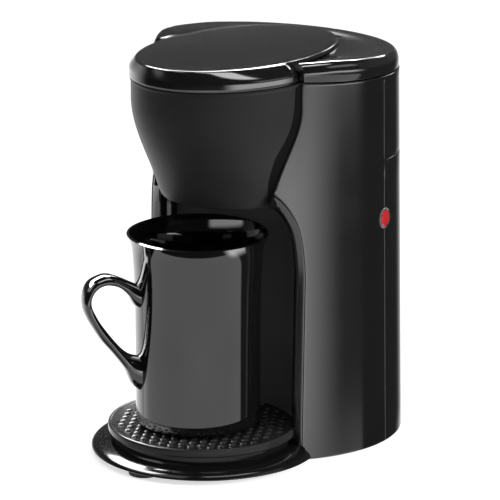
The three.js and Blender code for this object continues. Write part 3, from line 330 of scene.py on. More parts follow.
def loft(name, rings, fan=False):
    """Draws a skin through rings and closes it at both ends."""
    piece = draw(name, rings)
    fill(piece, rings[0], fan)
    fill(piece, rings[-1], fan)
    return close_up(piece)


def mirrored(rings, side):
    """The rings as they are for side 1, and mirrored to the left for side -1."""
    return [[Vector((side * p.x, p.y, p.z)) for p in ring] for ring in rings]


def turn(name, profile, y, x=0, steps=128):
    """Spins a line of (radius, height) points in millimetres about an upright axis."""
    points = [Vector((x + r * MM, y, z * MM)) for r, z in profile]
    piece = start(name, bpy.ops.mesh.primitive_plane_add, size=MM, location=points[0])
    bpy.ops.mesh.merge(type="CENTER")
    for point in points[1:]:
        reshape(piece, lambda co: point, grow=True)
    bpy.ops.mesh.select_all(action="SELECT")
    bpy.ops.mesh.spin(steps=steps, angle=2 * pi, center=(x, y, 0), axis=(0, 0, 1))
    return close_up(piece)


def wrap(name, columns, rows, rule):
    """Lays a grid on a surface: rule gives the point for the shares across and up."""
    add = bpy.ops.mesh.primitive_grid_add
    piece = start(name, add, x_subdivisions=columns, y_subdivisions=rows, size=1)
    reshape(piece, lambda co: rule(co.x + 0.5, co.y + 0.5))
    bpy.ops.object.mode_set(mode="OBJECT")
    return piece


def prism(name, outline, low, high):
    """Raises an outline in plan from one height to another."""
    return loft(name, [[Vector((x, y, z)) for x, y in outline] for z in (low, high)])


def choose(piece):
    """Selects one piece and nothing else."""
    deselect()
    bpy.context.view_layer.objects.active = piece
    piece.select_set(True)


def block(name, half, along_y, up):
    """A plain block: its half width, and the ends of its length and height."""
    piece = start(name, bpy.ops.mesh.primitive_cube_add, size=2)
    reshape(piece, lambda co: Vector((co.x * half, along_y[co.y > 0], up[co.z > 0])))
    return close_up(piece)


def modify(piece, kind, **settings):
    """Adds a modifier, sets it and applies it."""
    choose(piece)
    bpy.ops.object.modifier_add(type=kind)
    modifier = piece.modifiers[-1]
    for name, value in settings.items():
        setattr(modifier, name, value)
    bpy.ops.object.modifier_apply(modifier=modifier.name)
    return piece


def combine(piece, other, operation):
    """Cuts a piece with another, or joins or crosses them, and removes the other."""
    modify(piece, "BOOLEAN", operation=operation, object=other, solver="EXACT")
    bpy.data.objects.remove(other)


def soften(piece, width, segments=3, limit=40):
    """Rounds the sharp edges."""
    settings = {"limit_method": "ANGLE", "angle_limit": radians(limit), "use_clamp_overlap": True}
    return modify(piece, "BEVEL", width=width, segments=segments, **settings)


def finish(piece, body, slot, *nodes, smooth_angle=38, look=None):
    """Smooths a piece, gives it its finish and hands it to the frame."""
    choose(piece)
    bpy.ops.object.shade_smooth_by_angle(angle=radians(smooth_angle))
    piece.data.materials.clear()
    piece.data.materials.append(bpy.data.materials[f"{look or slot}_look"])
    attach(piece, body)
    if nodes:
        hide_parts(*nodes)
    if not piece.data.polygons:
        raise RuntimeError(f"{piece.name} has no faces")


# ---------------------------------------------------------------- the shapes that pieces share
def body_radius(z):
    sizes = bpy.context.scene.maker_body
    return lerp(sizes.bottom_radius, sizes.top_radius, z / sizes.top)


def top_joint(y):
    sizes = bpy.context.scene.maker_body
    return sizes.top - sizes.slope * max(0, y - WAIST_Y)


# Height and half width of the arch, in millimetres, and the height where it meets the head's groove
ARCH = [
    (105, 54.5), (113.4, 54.1), (120.1, 53.6), (126.9, 52.8), (132, 51.9), (137.1, 50.3), (141.7, 48.4),
    (145.4, 46.4), (148.5, 44.3), (150.7, 42.2), (152.4, 40), (153.6, 37.6), (154.2, 35),
]
CUSP = 151 * MM


def arch_half(z):
    """Half width of the arch."""
    return read(ARCH, z / MM) * MM


def opening_half(z):
    """Half width of the body's front opening."""
    return arch_half(z) if z < CUSP else (40.7 + 11.3 * smooth(z, 142.5 * MM, 199 * MM)) * MM


def on_body(angle, z):
    return Vector((body_radius(z) * cos(angle), BODY_Y + body_radius(z) * sin(angle), z))


def on_alcove(angle):
    """A point in plan on the front of the hollow panel behind the mug."""
    return ALCOVE_RADIUS * sin(angle), ALCOVE_Y + ALCOVE_RADIUS * cos(angle)


# ---------------------------------------------------------------- finishes
class Value:
    """A number in a material's nodes: an expression on it adds the Math nodes."""

    def __init__(self, tree, socket):
        self.tree = tree
        self.socket = socket

    def math(self, operation, *values):
        node = self.tree.nodes.new("ShaderNodeMath")
        node.operation = operation
        for socket, value in zip(node.inputs, values):
            connect(self.tree, socket, value)
        return Value(self.tree, node.outputs[0])

    def __add__(self, other):
        return self.math("ADD", self, other)

    def __sub__(self, other):
        return self.math("SUBTRACT", self, other)

    def __rsub__(self, other):
        return self.math("SUBTRACT", other, self)

    def __mul__(self, other):
        return self.math("MULTIPLY", self, other)

    __radd__ = __add__
    __rmul__ = __mul__


def connect(tree, socket, value):
    if isinstance(value, Value):
        tree.links.new(value.socket, socket)
    else:
        socket.default_value = value


class Surface:
    """A material, or the world, built up node by node."""

    def __init__(self, owner):
        self.owner = owner
        owner.use_nodes = True
        self.tree = owner.node_tree
        self.tree.nodes.clear()

    def node(self, kind, settings=None, values=None, output=0):
        """Adds a node: its settings first, then the values or links of its sockets."""
        made = self.tree.nodes.new(kind)
        for name, value in (settings or {}).items():
            setattr(made, name, value)
        for name, value in (values or {}).items():
            connect(self.tree, made.inputs[name], value)
        return Value(self.tree, made.outputs[output]) if made.outputs else None

    def object_place(self):
        return self.node("ShaderNodeTexCoord", output="Object")

    def noise(self, scale, detail=3, roughness=0.5, place=None):
        """Cloudy values, with the scale in waves to the metre."""
        values = {"Vector": place or self.object_place(), "Scale": scale}
        values.update({"Detail": detail, "Roughness": roughness})
        return self.node("ShaderNodeTexNoise", {"noise_dimensions": "3D"}, values, output="Fac")

    def bump(self, height, distance):
        values = {"Height": height, "Distance": distance, "Strength": 1.0}
        return self.node("ShaderNodeBump", {}, values, output="Normal")

    def blend(self, factor, first, second):
        values = {0: factor, 6: (*first, 1), 7: (*second, 1)}
        return self.node("ShaderNodeMix", {"data_type": "RGBA"}, values, output=2)

    def principled(self, **values):
        named = {key.replace("_", " ").title().replace("Ior", "IOR"): values[key] for key in values}
        shader = self.node("ShaderNodeBsdfPrincipled", {}, named)
        self.node("ShaderNodeOutputMaterial", {}, {"Surface": shader})


def blank(name):
    """A new material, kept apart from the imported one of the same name."""
    return bpy.data.materials.new(f"{name}_look")


def moulded(name, tone, roughness, grain=0.0, drift=0.04, shine=0.5):
    """Moulded plastic: slow drift in its gloss, faint flow in its surface and, if wanted, a fine grain."""
    skin = Surface(blank(name))
    flow = skin.noise(38, 3)
    fine = skin.noise(2600, 4, 0.6)
    shade = skin.blend(flow, [c * 0.85 for c in tone], [min(1, c * 1.18) for c in tone])
    height = flow * 0.12 + fine * grain
    skin.principled(
        base_color=shade,
        roughness=roughness - drift / 2 + flow * drift,
        specular_ior_level=shine,
        normal=skin.bump(height, 0.02 * MM),
    )


def bare_metal(name, tone, roughness, grain, stretch=(1, 1, 1)):
    """Metal with a grain that may be drawn out along one way."""
    skin = Surface(blank(name))
    place = skin.node("ShaderNodeMapping", {}, {"Vector": skin.object_place(), "Scale": stretch})
    lines = skin.noise(900, 4, 0.6, place)
    shade = skin.blend(lines, [c * 0.85 for c in tone], [min(1, c * 1.08) for c in tone])
    skin.principled(
        base_color=shade,
        metallic=1.0,
        roughness=roughness - 0.08 + lines * 0.16,
        normal=skin.bump(lines, grain * MM),
    )


class MAKER_OT_finishes(bpy.types.Operator):
    """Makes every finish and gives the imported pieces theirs"""

    bl_idname = "maker.finishes"
    bl_label = "Finishes"

    def execute(self, context):
        tones = context.scene.maker_finish
        moulded("gloss_body", tones.gloss_black, tones.gloss, grain=0.01, shine=1.0)
        moulded("lid_gloss", tones.gloss_black, 0.1, drift=0.02, shine=1.0)
        moulded("satin_body", tones.satin_black, tones.satin, grain=0.2, drift=0.06, shine=0.1)
        moulded("trim_gloss", tones.gloss_black, 0.16, grain=0.02, shine=1.0)
        # Groove strips: real black trim, made much darker and duller than their own soft black as painted
        # shade for the recessed groove
        moulded("groove_painted_shade", (0.004, 0.004, 0.004), 0.8, grain=0.4, shine=0.1)
        moulded("plate", tones.satin_black, 0.2, grain=0.1, shine=0.2)
        moulded("bump_black", tones.satin_black, 0.26, grain=0.1, shine=0.2)
        moulded("foot_gloss", tones.gloss_black, 0.12, grain=0.01, shine=0.3)
        # Hollow panel: a far lighter copy of the satin black, painted light that stands in for the sheen and
        # light on the dark hollow
        moulded("alcove_painted_light", (0.1, 0.1, 0.103), 0.45, grain=0.2, shine=0.3)
        moulded("mug_glaze", tones.glaze_black, 0.05, drift=0.02, shine=1.0)
        moulded("soft_black", (0.014, 0.014, 0.014), 0.75, grain=0.8)
        moulded("inner_plastic", (0.035, 0.035, 0.038), 0.5, grain=0.5)
        moulded("silicone", (0.62, 0.6, 0.56), 0.55, grain=0.4)
        moulded("wire_brown", (0.11, 0.045, 0.025), 0.5, grain=0.3)
        moulded("wire_blue", (0.025, 0.05, 0.2), 0.5, grain=0.3)
        moulded("lamp", (0.75, 0.25, 0.08), 0.2)
        bare_metal("heater_metal", (0.6, 0.61, 0.62), 0.48, 0.08)
        bare_metal("steel", (0.56, 0.56, 0.57), 0.3, 0.02, (1, 1, 9))
        moulded("ring_silver", (0.11, 0.1, 0.09), 0.25, grain=0.05, shine=0.8)

        tank = Surface(blank("tank_plastic"))
        frost = tank.noise(1500, 4, 0.6)
        tank.principled(
            base_color=tank.blend(frost, (0.5, 0.53, 0.56), (0.62, 0.65, 0.67)),
            roughness=frost * 0.12 + 0.3,
            transmission_weight=0.55,
            ior=1.49,
            normal=tank.bump(frost, 0.02 * MM),
        )

        lens = Surface(blank("button_lens"))
        ripple = lens.noise(420, 2)
        lens.principled(
            base_color=lens.blend(ripple, [c * 0.8 for c in tones.lens_red], tones.lens_red),
            roughness=ripple * 0.05 + 0.1,
            emission_color=lens.blend(ripple, (0.75, 0.01, 0.02), (1.0, 0.03, 0.04)),
            emission_strength=0.03,
            normal=lens.bump(ripple, 0.02 * MM),
        )

        slot_of = {part["node"]: part["material_slot"] for part in frame["record"]["subparts"]}
        for name, node in frame["nodes"].items():
            node.data.materials.clear()
            node.data.materials.append(bpy.data.materials[f"{slot_of[name]}_look"])
        return {"FINISHED"}


# ---------------------------------------------------------------- round body
class MAKER_OT_side_shells(bpy.types.Operator):
    """Wraps the two side shells round the body, with the arch cut out of their front edges"""

    bl_idname = "maker.side_shells"
    bl_label = "Side shells"

    def execute(self, context):
        sizes = context.scene.maker_body
        low = side_low.z / MM
        # Heights of the rows in millimetres, closest together where the arch bends in
        rows = [low, low + 1.2, 8, 20, 35, 50, 65, 80, 92, 100, 105]
        rows += [109, 113, 117, 120, 123, 126, 129, 131.5, 134, 136, 138, 140, 141.7, 143.3, 144.7, 146]
        rows += [147.2, 148.2, 149, 149.8, 150.5, 151, 152.4, 154, 156.5, *range(160, 212, 4), 211, 212.2]
        back = sizes.panel_angle - sizes.joint / 2 / sizes.bottom_radius

        def rule(across, up):
            at = up * (len(rows) - 1)
            i = min(len(rows) - 2, int(at + 1e-6))
            z = lerp(rows[i], rows[i + 1], at - i) * MM
            front = -acos(opening_half(z) / body_radius(z))
            angle = lerp(front, back, across)
            share = (z - side_low.z) / (sizes.top - side_low.z)
            y = BODY_Y + body_radius(z) * sin(angle)
            return on_body(angle, lerp(side_low.z, top_joint(y), share))

        def left_rule(across, up):
            return rule(1 - across, up) * Vector((-1, 1, 1))

        right = wrap("side_shell_right_skin", 44, len(rows) - 1, rule)
        left = wrap("side_shell_left_skin", 44, len(rows) - 1, left_rule)
        for shell, name in ((right, "side_shell_right"), (left, "side_shell_left")):
            modify(shell, "SOLIDIFY", thickness=sizes.wall, offset=-1, use_even_offset=True)
            soften(shell, sizes.edge)
            if shell == right:
                combine(shell, button_cutter(context), "DIFFERENCE")
            finish(shell, "base", "gloss_body", name)
        return {"FINISHED"}


def button_frame():
    """Middle of the button on the body's face, and the way it points."""
    angle = bpy.context.scene.maker_body.panel_angle
    z = (ring_low.z + ring_high.z) / 2
    return on_body(angle, z), Vector((cos(angle), sin(angle), 0))


def round_bar(name, end, way, length, radius, vertices=64):
    """A round bar that starts at one end and runs one way, closed and out of edit mode."""
    return close_up(start(
        name, bpy.ops.mesh.primitive_cylinder_add, vertices=vertices, radius=radius, depth=length,
        location=end + way * (length / 2), rotation=way.to_track_quat("Z", "Y").to_euler(),
    ))


def button_cutter(context):
    middle, way = button_frame()
    radius = (ring_high.z - ring_low.z) / 2 + context.scene.maker_body.joint
    return round_bar("button_cutter", middle - way * 12 * MM, way, 20 * MM, radius)


class MAKER_OT_rear_panels(bpy.types.Operator):
    """Wraps the two rear panels round the back of the body"""

    bl_idname = "maker.rear_panels"
    bl_label = "Rear panels"

    def execute(self, context):
        sizes = context.scene.maker_body
        first = sizes.panel_angle + sizes.joint / 2 / sizes.bottom_radius

        def panel(name, bottom, top):
            def rule(across, up):
                angle = lerp(first, pi - first, across)
                z = 0.0
                for _ in range(4):
                    y = BODY_Y + body_radius(z) * sin(angle)
                    z = lerp(bottom(y), top(y), up)
                return on_body(angle, z)

            shell = wrap(name, 132, 12, rule)
            modify(shell, "SOLIDIFY", thickness=sizes.wall, offset=-1, use_even_offset=True)
            return soften(shell, sizes.edge)

        def split(y):
            return top_joint(y) - sizes.panel_split

        half = sizes.joint / 2
        lower = panel("rear_panel_lower_skin", lambda y: panel_low.z, lambda y: split(y) - half)
        upper = panel("rear_panel_upper_skin", lambda y: split(y) + half, top_joint)
        combine(lower, button_cutter(context), "DIFFERENCE")
        gland = (gland_low + gland_high) / 2
        way = Vector((gland.x, gland.y - BODY_Y, 0)).normalized()
        inside = Vector((0, BODY_Y, gland.z)) + way * 60 * MM
        hole_radius = 5.3 * MM
        combine(lower, round_bar("gland_cutter", inside, way, 20 * MM, hole_radius), "DIFFERENCE")
        for shell, name in ((lower, "rear_panel_lower"), (upper, "rear_panel_upper")):
            finish(shell, "base", "gloss_body", name)
        return {"FINISHED"}


class MAKER_OT_button(bpy.types.Operator):
    """Makes the push button's ring and its domed lens"""

    bl_idname = "maker.button"
    bl_label = "Push button"

    def execute(self, context):
        middle, way = button_frame()
        outer = (ring_high.z - ring_low.z) / 2
        inner = outer - 0.9 * MM
        ring = round_bar("button_ring_turned", middle - way * 5 * MM, way, 5.6 * MM, outer)
        bore = round_bar("ring_bore", middle - way * 8 * MM, way, 16 * MM, inner)
        combine(ring, bore, "DIFFERENCE")
        soften(ring, 0.45 * MM, 4)
        finish(ring, "base", "steel", "button_ring", look="ring_silver")

        radius = inner - 0.2 * MM
        lens = round_bar("power_button_lens", middle - way * 6 * MM, way, 6.45 * MM, radius, 48)
        bpy.ops.object.mode_set(mode="EDIT")
        face = middle + way * 0.45 * MM
        steps = ((0.93, 0.25), (0.8, 0.5), (0.6, 0.72), (0.38, 0.86), (0.16, 0.92))
        pick(lens, lambda co: (co - face).dot(way) > -0.05 * MM)
        dome(lens, face, way, radius, MM, steps)
        close_up(lens)
        soften(lens, 0.15 * MM, 2, 60)
        stem = round_bar("button_stem", middle - way * 10 * MM, way, 4.5 * MM, 1.8 * MM, 24)
        combine(lens, stem, "UNION")
        finish(lens, "button", "button_lens", "power_button")
        return {"FINISHED"}


# ---------------------------------------------------------------- front opening
# Outline of the arch trims as (inwards, back) from the arch's edge, in millimetres
TRIM_LINE = [
    (0.4, 1.0), (0.5, 0.35), (0.9, -0.05), (2.2, -0.45), (3.6, -0.75), (5.0, -0.8), (6.3, -0.6), (7.2, 0.0),
    (7.6, 0.9), (7.8, 2.2), (8.0, 3.3), (8.9, 3.8), (10.2, 4.0), (11.2, 4.5), (11.5, 5.2),
]


def trim_section(z, outline):
    """The arch trim's outline, as (inwards, back) in millimetres, on the arch's edge at a height."""
    x = arch_half(z)
    y = BODY_Y - sqrt(body_radius(z) ** 2 - x * x)
    fall = arch_half(z - 0.6 * MM) - arch_half(z + 0.6 * MM)
    inwards = Vector((-1, 0, -fall / (1.2 * MM))).normalized()
    return [inwards * n * MM + Vector((x, y + back * MM, z)) for n, back in outline]


# Height, half width and place along Y of the groove strips' inner edge, in millimetres
GROOVE = [
    (143.2, 37.2, -27.0), (146, 37.4, -27.3), (149, 37.7, -27.8), (152, 38.2, -28.1),
    (154, 38.6, -28.7), (157.5, 39.2, -29.4), (161, 40.1, -29.7), (164.5, 41.2, -29.6),
    (168, 42.3, -29.4), (171.5, 43.5, -29.0), (174.5, 44.6, -28.0), (178, 45.9, -26.4), (181, 47.0, -24.7),
    (184.5, 48.0, -23.3), (187.5, 48.6, -22.3), (190.5, 49.1, -21.5), (194, 49.5, -20.9),
    (197.5, 49.8, -20.4), (200.5, 49.9, -20.1), (204, 50.0, -19.8), (207, 50.1, -19.6), (211.6, 50.3, -19.4),
]


class MAKER_OT_grooves(bpy.types.Operator):
    """Draws the dark strips in the grooves between the head and the side shells"""

    bl_idname = "maker.grooves"
    bl_label = "Groove strips"

    def execute(self, context):
        rings = []
        for z, x, y in GROOVE:
            inner = Vector((x + 0.25, y - 0.25, z)) * MM
            if z * MM > CUSP:
                half = opening_half(z * MM) - 0.25 * MM
            else:
                half = lerp(39.2, 42.0, (z - 143.2) / 7.8) * MM
            depth = lerp(-1.0, 0.5, smooth(z, 149, 153)) * MM
            outer_y = BODY_Y - sqrt(body_radius(z * MM) ** 2 - half ** 2) + depth
            outer = Vector((half, outer_y, z * MM))
            width = (outer - inner).length / MM
            across = (outer - inner).normalized()
            back = Vector((-across.y, across.x, 0))
            ring = [inner + back * 0.3 * MM]
            for i in range(9):
                bulge = back * 0.25 * MM * sin(pi * i / 8)
                ring.append(inner + across * lerp(0.2, width - 0.2, i / 8) * MM + bulge)
            ring.append(outer + back * 0.3 * MM)
            ring.append(outer + back * 4 * MM - across * 0.6 * MM)
            ring.append(inner + back * 4 * MM + across * 1.2 * MM)
            rings.append(ring)
        for side, name in ((1, "right"), (-1, "left")):
            strip = loft(f"groove_trim_{name}_strip", mirrored(rings, side))
            # The strips' look is partly painted shade: darker than their own soft black
            finish(strip, "base", "soft_black", f"groove_trim_{name}", look="groove_painted_shade")
        return {"FINISHED"}


class MAKER_OT_arch(bpy.types.Operator):
    """Draws the trims up both sides of the arch and the hollow panel behind the mug"""

    bl_idname = "maker.arch"
    bl_label = "Arch trims and alcove panel"

    def execute(self, context):
        outline = [*spread(TRIM_LINE, 30), (11.4, 8.5), (0.45, 8.5)]
        heights = [4.8, 20, 40, 60, 80, 95, 105, 109, 112.5, 116, 119, 122, 125, 127.5, 130, 132, 134]
        heights += [135.8, 137.5, 139, 140.5, 141.8, 143, 144.1, 145.1, 146, 146.9, 147.7, 148.4, 149.1]
        heights += [149.8, 150.5, 151.1]
        rings = [trim_section(z * MM, outline) for z in heights]
        for side, name in ((1, "right"), (-1, "left")):
            trim = loft(f"arch_trim_{name}_band", mirrored(rings, side))
            wedge = [(43.4, 153), (42.3, 151.2), (39.3, 143.2), (15, 143.2), (15, 153)]
            ends = [[Vector((side * x, y, z)) * MM for x, z in wedge] for y in (-60, 10)]
            combine(trim, loft("trim_cutter", ends), "DIFFERENCE")
            finish(trim, "base", "satin_body", f"arch_trim_{name}", look="trim_gloss")

        widest = asin(42.2 * MM / ALCOVE_RADIUS)

        def rule(across, up):
            x, y = on_alcove(lerp(-widest, widest, across))
            return Vector((x, y, lerp(alcove_low.z, alcove_high.z, up)))

        panel = wrap("alcove_panel_skin", 64, 10, rule)
        modify(panel, "SOLIDIFY", thickness=2 * MM, offset=-1)
        soften(panel, 0.4 * MM)
        # The hollow panel's look is painted light: a lighter copy of the satin black
        finish(panel, "base", "satin_body", "alcove_panel", look="alcove_painted_light")
        return {"FINISHED"}


# ---------------------------------------------------------------- brew head
def head_ring(z, inset=0, height=None):
    """Outline of the head at one height: an oval in front, square behind."""
    sizes = bpy.context.scene.maker_head
    t = smooth(z, head_low.z - 12 * MM, head_low.z + 57.5 * MM)
    lip = sizes.flange * smooth(z, head_high.z - 2.2 * MM, head_high.z - 1.2 * MM)
    half = lerp(sizes.flare_half, sizes.top_half, t) + lip - inset
    reach = lerp(sizes.flare_reach, sizes.top_reach, t) + lip - inset
    back = head_high.y - inset
    height = z if height is None else height
    ring = [
        Vector((half * cos(a), sizes.middle - reach * sin(a), height))
        for a in (pi * i / 96 for i in range(97))
    ]
    corner = 3 * MM
    ring += [Vector((-half, back - corner, height)), Vector((corner - half, back, height))]
    return ring + [Vector((half - corner, back, height)), Vector((half, back - corner, height))]


class MAKER_OT_head(bpy.types.Operator):
    """Draws the brew head from its chin up to its flange and down inside"""

    bl_idname = "maker.head"
    bl_label = "Brew head"

    def execute(self, context):
        sizes = context.scene.maker_head
        low, high = head_low.z, head_high.z
        pocket = low + sizes.rounding + 2 * MM
        rings = [head_ring(low, sizes.wall + sizes.rounding)]
        for i in range(7):
            a = pi / 2 * i / 6
            inset = sizes.rounding * (1 - sin(a))
            rings.append(head_ring(low, inset, low + sizes.rounding * (1 - cos(a))))
        z = pocket
        while z < high - 5 * MM:
            rings.append(head_ring(z))
            z += 2.4 * MM
        for drop in (3.6, 2.3, 2.0, 1.8, 1.6, 1.4, 1.2, 0.8, 0.4):
            rings.append(head_ring(high - drop * MM))
        for inset, drop in ((0.12, 0.12), (0.4, 0)):
            rings.append(head_ring(high, inset * MM, high - drop * MM))
        for drop in (0, 6, 20, 36, 52):
            rings.append(head_ring(high - drop * MM, sizes.wall))
        rings.append(head_ring(pocket, sizes.wall))
        rings.append(head_ring(low, sizes.wall + sizes.rounding, pocket))
        rings.append(head_ring(low, sizes.wall + sizes.rounding))
        head = close_up(draw("head_shell_skin", rings))
        finish(head, "base", "satin_body", "head_shell", smooth_angle=45)
        return {"FINISHED"}


# ---------------------------------------------------------------- lid and rear cover
KNUCKLE_HALF = 9.5 * MM
KNUCKLE_RADIUS = 2.6 * MM


def lid_edge(y):
    """Height of the lid's oval edge."""
    sizes = bpy.context.scene.maker_lid
    return bpy.context.scene.maker_body.top + sizes.rise - sizes.slope * (y - sizes.middle)


def lid_waist():
    return WAIST_Y - 0.6 * MM


def lid_angles():
    """Angles round the lid, from the waist on the right, round the front and then round the back."""
    sizes = bpy.context.scene.maker_lid
    end = asin((lid_waist() - sizes.middle) / sizes.reach)
    front = [lerp(end, -pi - end, i / 192) for i in range(193)]
    rear = [lerp(-pi - end - 0.003, end - 2 * pi + 0.003, i / 72) for i in range(73)]
    return front, rear


class MAKER_OT_lid(bpy.types.Operator):
    """Draws the lid: its dome, the rounded oval edge, the skirt over the head and the inside"""

    bl_idname = "maker.lid"
    bl_label = "Lid"

    def execute(self, context):
        sizes = context.scene.maker_lid
        head = context.scene.maker_head
        front, rear = lid_angles()
        end = front[0]
        skirt_half = head.top_half + head.flange - 0.3 * MM
        skirt_reach = head.top_reach + head.flange + 1.2 * MM
        foot_end = asin((lid_waist() - head.middle) / skirt_reach)
        foot_z = context.scene.maker_body.top + 0.6 * MM

        def oval(scale, drop=0.0, dome=0.0, grow=0.0):
            ring = []
            for a in front + rear:
                x = (scale * sizes.half + grow) * cos(a)
                y = sizes.middle + (scale * sizes.reach + grow) * sin(a)
                ring.append(Vector((x, y, lid_edge(y) - drop + dome * (1 - scale * scale))))
            return ring

        def outwards(p):
            return Vector((p.x / sizes.half ** 2, (p.y - sizes.middle) / sizes.reach ** 2, 0)).normalized()

        def foot(a):
            """Point on the skirt's foot, spread from the waist to the front as the oval's are."""
            share = (a + pi / 2) / (pi / 2 + end)
            b = share * (pi / 2 + foot_end) - pi / 2
            return Vector((skirt_half * cos(b), head.middle + skirt_reach * sin(b), foot_z))

        def recess(y):
            """The skirt steps in beside the waist."""
            return 1.8 * MM * smooth(y, -20.4 * MM, -19.7 * MM)

        def side(part, inset=0):
            """Part of the way down from the oval edge (0) to the skirt's foot (1)."""
            ring = []
            for i, edge in enumerate(oval(1)):
                n = outwards(edge)
                if i < len(front):
                    low = foot(front[i])
                    out = sin(min(1, part / 0.62) * pi / 2)
                    fall = 0.42 * out + 0.2 * (1 - sqrt(1 - out * out)) if part < 0.62 else part
                    p = edge.lerp(low, out)
                    p += n * (max(0, part - 0.6) * 0.45 * MM - recess(p.y) - inset)
                    z = lerp(edge.z, low.z, fall)
                else:
                    p = edge + n * (0.3 * MM * part - inset)
                    z = edge.z - 2 * MM * lerp(0.3, 1, part)
                if inset:
                    z = min(z, edge.z - 1.5 * MM)
                ring.append(Vector((p.x, p.y, z)))
            return ring

        def drawn_in(ring, inset):
            return [p - outwards(p) * inset for p in ring]

        r = sizes.crease
        domed = (0.04, 0.1, 0.2, 0.3, 0.4, 0.5, 0.6, 0.7, 0.78, 0.86, 0.92, 0.96)
        rings = [oval(scale, 0, sizes.dome) for scale in domed]
        for share in (0.0, 0.18, 0.34, 0.5, 0.66, 0.82, 1.0):
            rings.append([
                p.lerp(corner, share).lerp(corner.lerp(q, share), share)
                for p, q, corner in zip(oval(1, 0.08 * r, 0, -r), side(0.07), oval(1))
            ])
        for part in (0.09, 0.13, 0.18, 0.24, 0.3, 0.37, 0.44, 0.5, 0.55, 0.59, 0.62, 0.72, 0.86, 0.96):
            rings.append(side(part))
        rings += [drawn_in(side(0.99), 0.12 * MM), drawn_in(side(1), 0.35 * MM)]
        rings += [side(1, 1.7 * MM), side(0.8, 2 * MM), side(0.55, 2 * MM), side(0.3, 2 * MM)]
        rings += [oval(scale, 1.5 * MM, 0.6 * sizes.dome) for scale in (0.93, 0.8, 0.6, 0.4, 0.2, 0.04)]
        lid = loft("lid_shell_skin", rings, fan=True)
        finish(lid, "lid", "gloss_body", "lid_shell", smooth_angle=42, look="lid_gloss")

        def along_pin(name, half, radius, vertices):
            end = Vector((-half, PIN_Y, PIN_Z))
            return round_bar(name, end, Vector((1, 0, 0)), 2 * half, radius, vertices)

        knuckle = along_pin("lid_knuckle", KNUCKLE_HALF, KNUCKLE_RADIUS, 48)
        along_y = PIN_Y - KNUCKLE_RADIUS, PIN_Y + 1.6 * MM
        neck = block("knuckle_neck", KNUCKLE_HALF, along_y, (PIN_Z, lid_edge(PIN_Y) - 1.2 * MM))
        combine(knuckle, neck, "UNION")
        combine(knuckle, along_pin("knuckle_bore", 12 * MM, 1.7 * MM, 32), "DIFFERENCE")
        soften(knuckle, 0.25 * MM, 2)
        finish(knuckle, "lid", "gloss_body", look="lid_gloss")
        return {"FINISHED"}


class MAKER_OT_rear_cover(bpy.types.Operator):
    """Draws the rear cover round the back of the lid and cuts it off at the waist"""

    bl_idname = "maker.rear_cover"
    bl_label = "Rear cover"

    def execute(self, context):
        sizes = context.scene.maker_lid
        body = context.scene.maker_body
        outer = body.top_radius - 0.3 * MM
        wall = 2.2 * MM

        def to_lid(a, inset):
            """Distance from the body's axis to the lid's edge along an angle."""
            half, reach = sizes.half - inset, sizes.reach - inset
            offset = BODY_Y - sizes.middle
            qa = (cos(a) / half) ** 2 + (sin(a) / reach) ** 2
            qb = 2 * offset * sin(a) / reach ** 2
            qc = (offset / reach) ** 2 - 1
            return (-qb + sqrt(qb * qb - 4 * qa * qc)) / (2 * qa)

        def section(turned):
            """The cover's outline along one angle, from the lid's edge out, down and back inside."""
            def y_at(r):
                return BODY_Y + r * sin(turned)

            inner = to_lid(turned, 5 * MM)
            edge = to_lid(turned, -1.5 * MM)
            lip = lid_edge(y_at(edge)) - 2.4 * MM
            corner = body.top + sizes.cover_rise - sizes.cover_slope * max(0, y_at(outer))
            low = top_joint(y_at(outer)) + 0.6 * MM
            r = min(sizes.cover_round, outer - edge - 2 * MM)
            rim = outer - 0.6 * r
            shares = ((0, 0), (0.3, 0.42), (0.65, 0.8))
            line = [(lerp(edge, rim, far), lerp(lip, corner, up)) for far, up in shares]
            for i in range(13):
                a = radians(lerp(86, 0, i / 12))
                line.append((rim + 0.6 * r * cos(a), corner - r + r * sin(a)))
            shape = [(inner, lip), *spread(line, 30)]
            shape += [(outer, low + 0.5 * MM), (outer - 0.15 * MM, low + 0.14 * MM), (outer - 0.5 * MM, low)]
            shape += [(outer - wall, low), (outer - wall, corner - r)]
            shape += [(outer - wall - r * 0.5, corner - wall - 0.8 * MM)]
            shape += [(lerp(edge, rim, 0.5), lerp(lip, corner, 0.6) - wall), (inner, lip - wall)]
            return [Vector((reach * cos(turned), y_at(reach), z)) for reach, z in shape]

        first = radians(-46)
        rings = [section(lerp(first, pi - first, i / 150)) for i in range(151)]
        cover = draw("rear_cover_skin", rings)
        fill(cover, rings[0])
        fill(cover, rings[-1])
        bpy.ops.mesh.select_all(action="SELECT")
        bpy.ops.mesh.normals_make_consistent(inside=False)
        waist = (0, cover_low.y + 0.01 * MM, 0)
        bpy.ops.mesh.bisect(plane_co=waist, plane_no=(0, -1, 0), use_fill=True, clear_outer=True)
        close_up(cover)
        back = PIN_Y + hypot(KNUCKLE_RADIUS, lid_edge(PIN_Y) - PIN_Z) + 0.4 * MM
        notch = block("hinge_notch", 18 * MM, (PIN_Y - 20 * MM, back), (PIN_Z - 12 * MM, PIN_Z + 12 * MM))
        combine(cover, notch, "DIFFERENCE")
        finish(cover, "base", "gloss_body", "rear_cover", smooth_angle=42, look="lid_gloss")
        return {"FINISHED"}


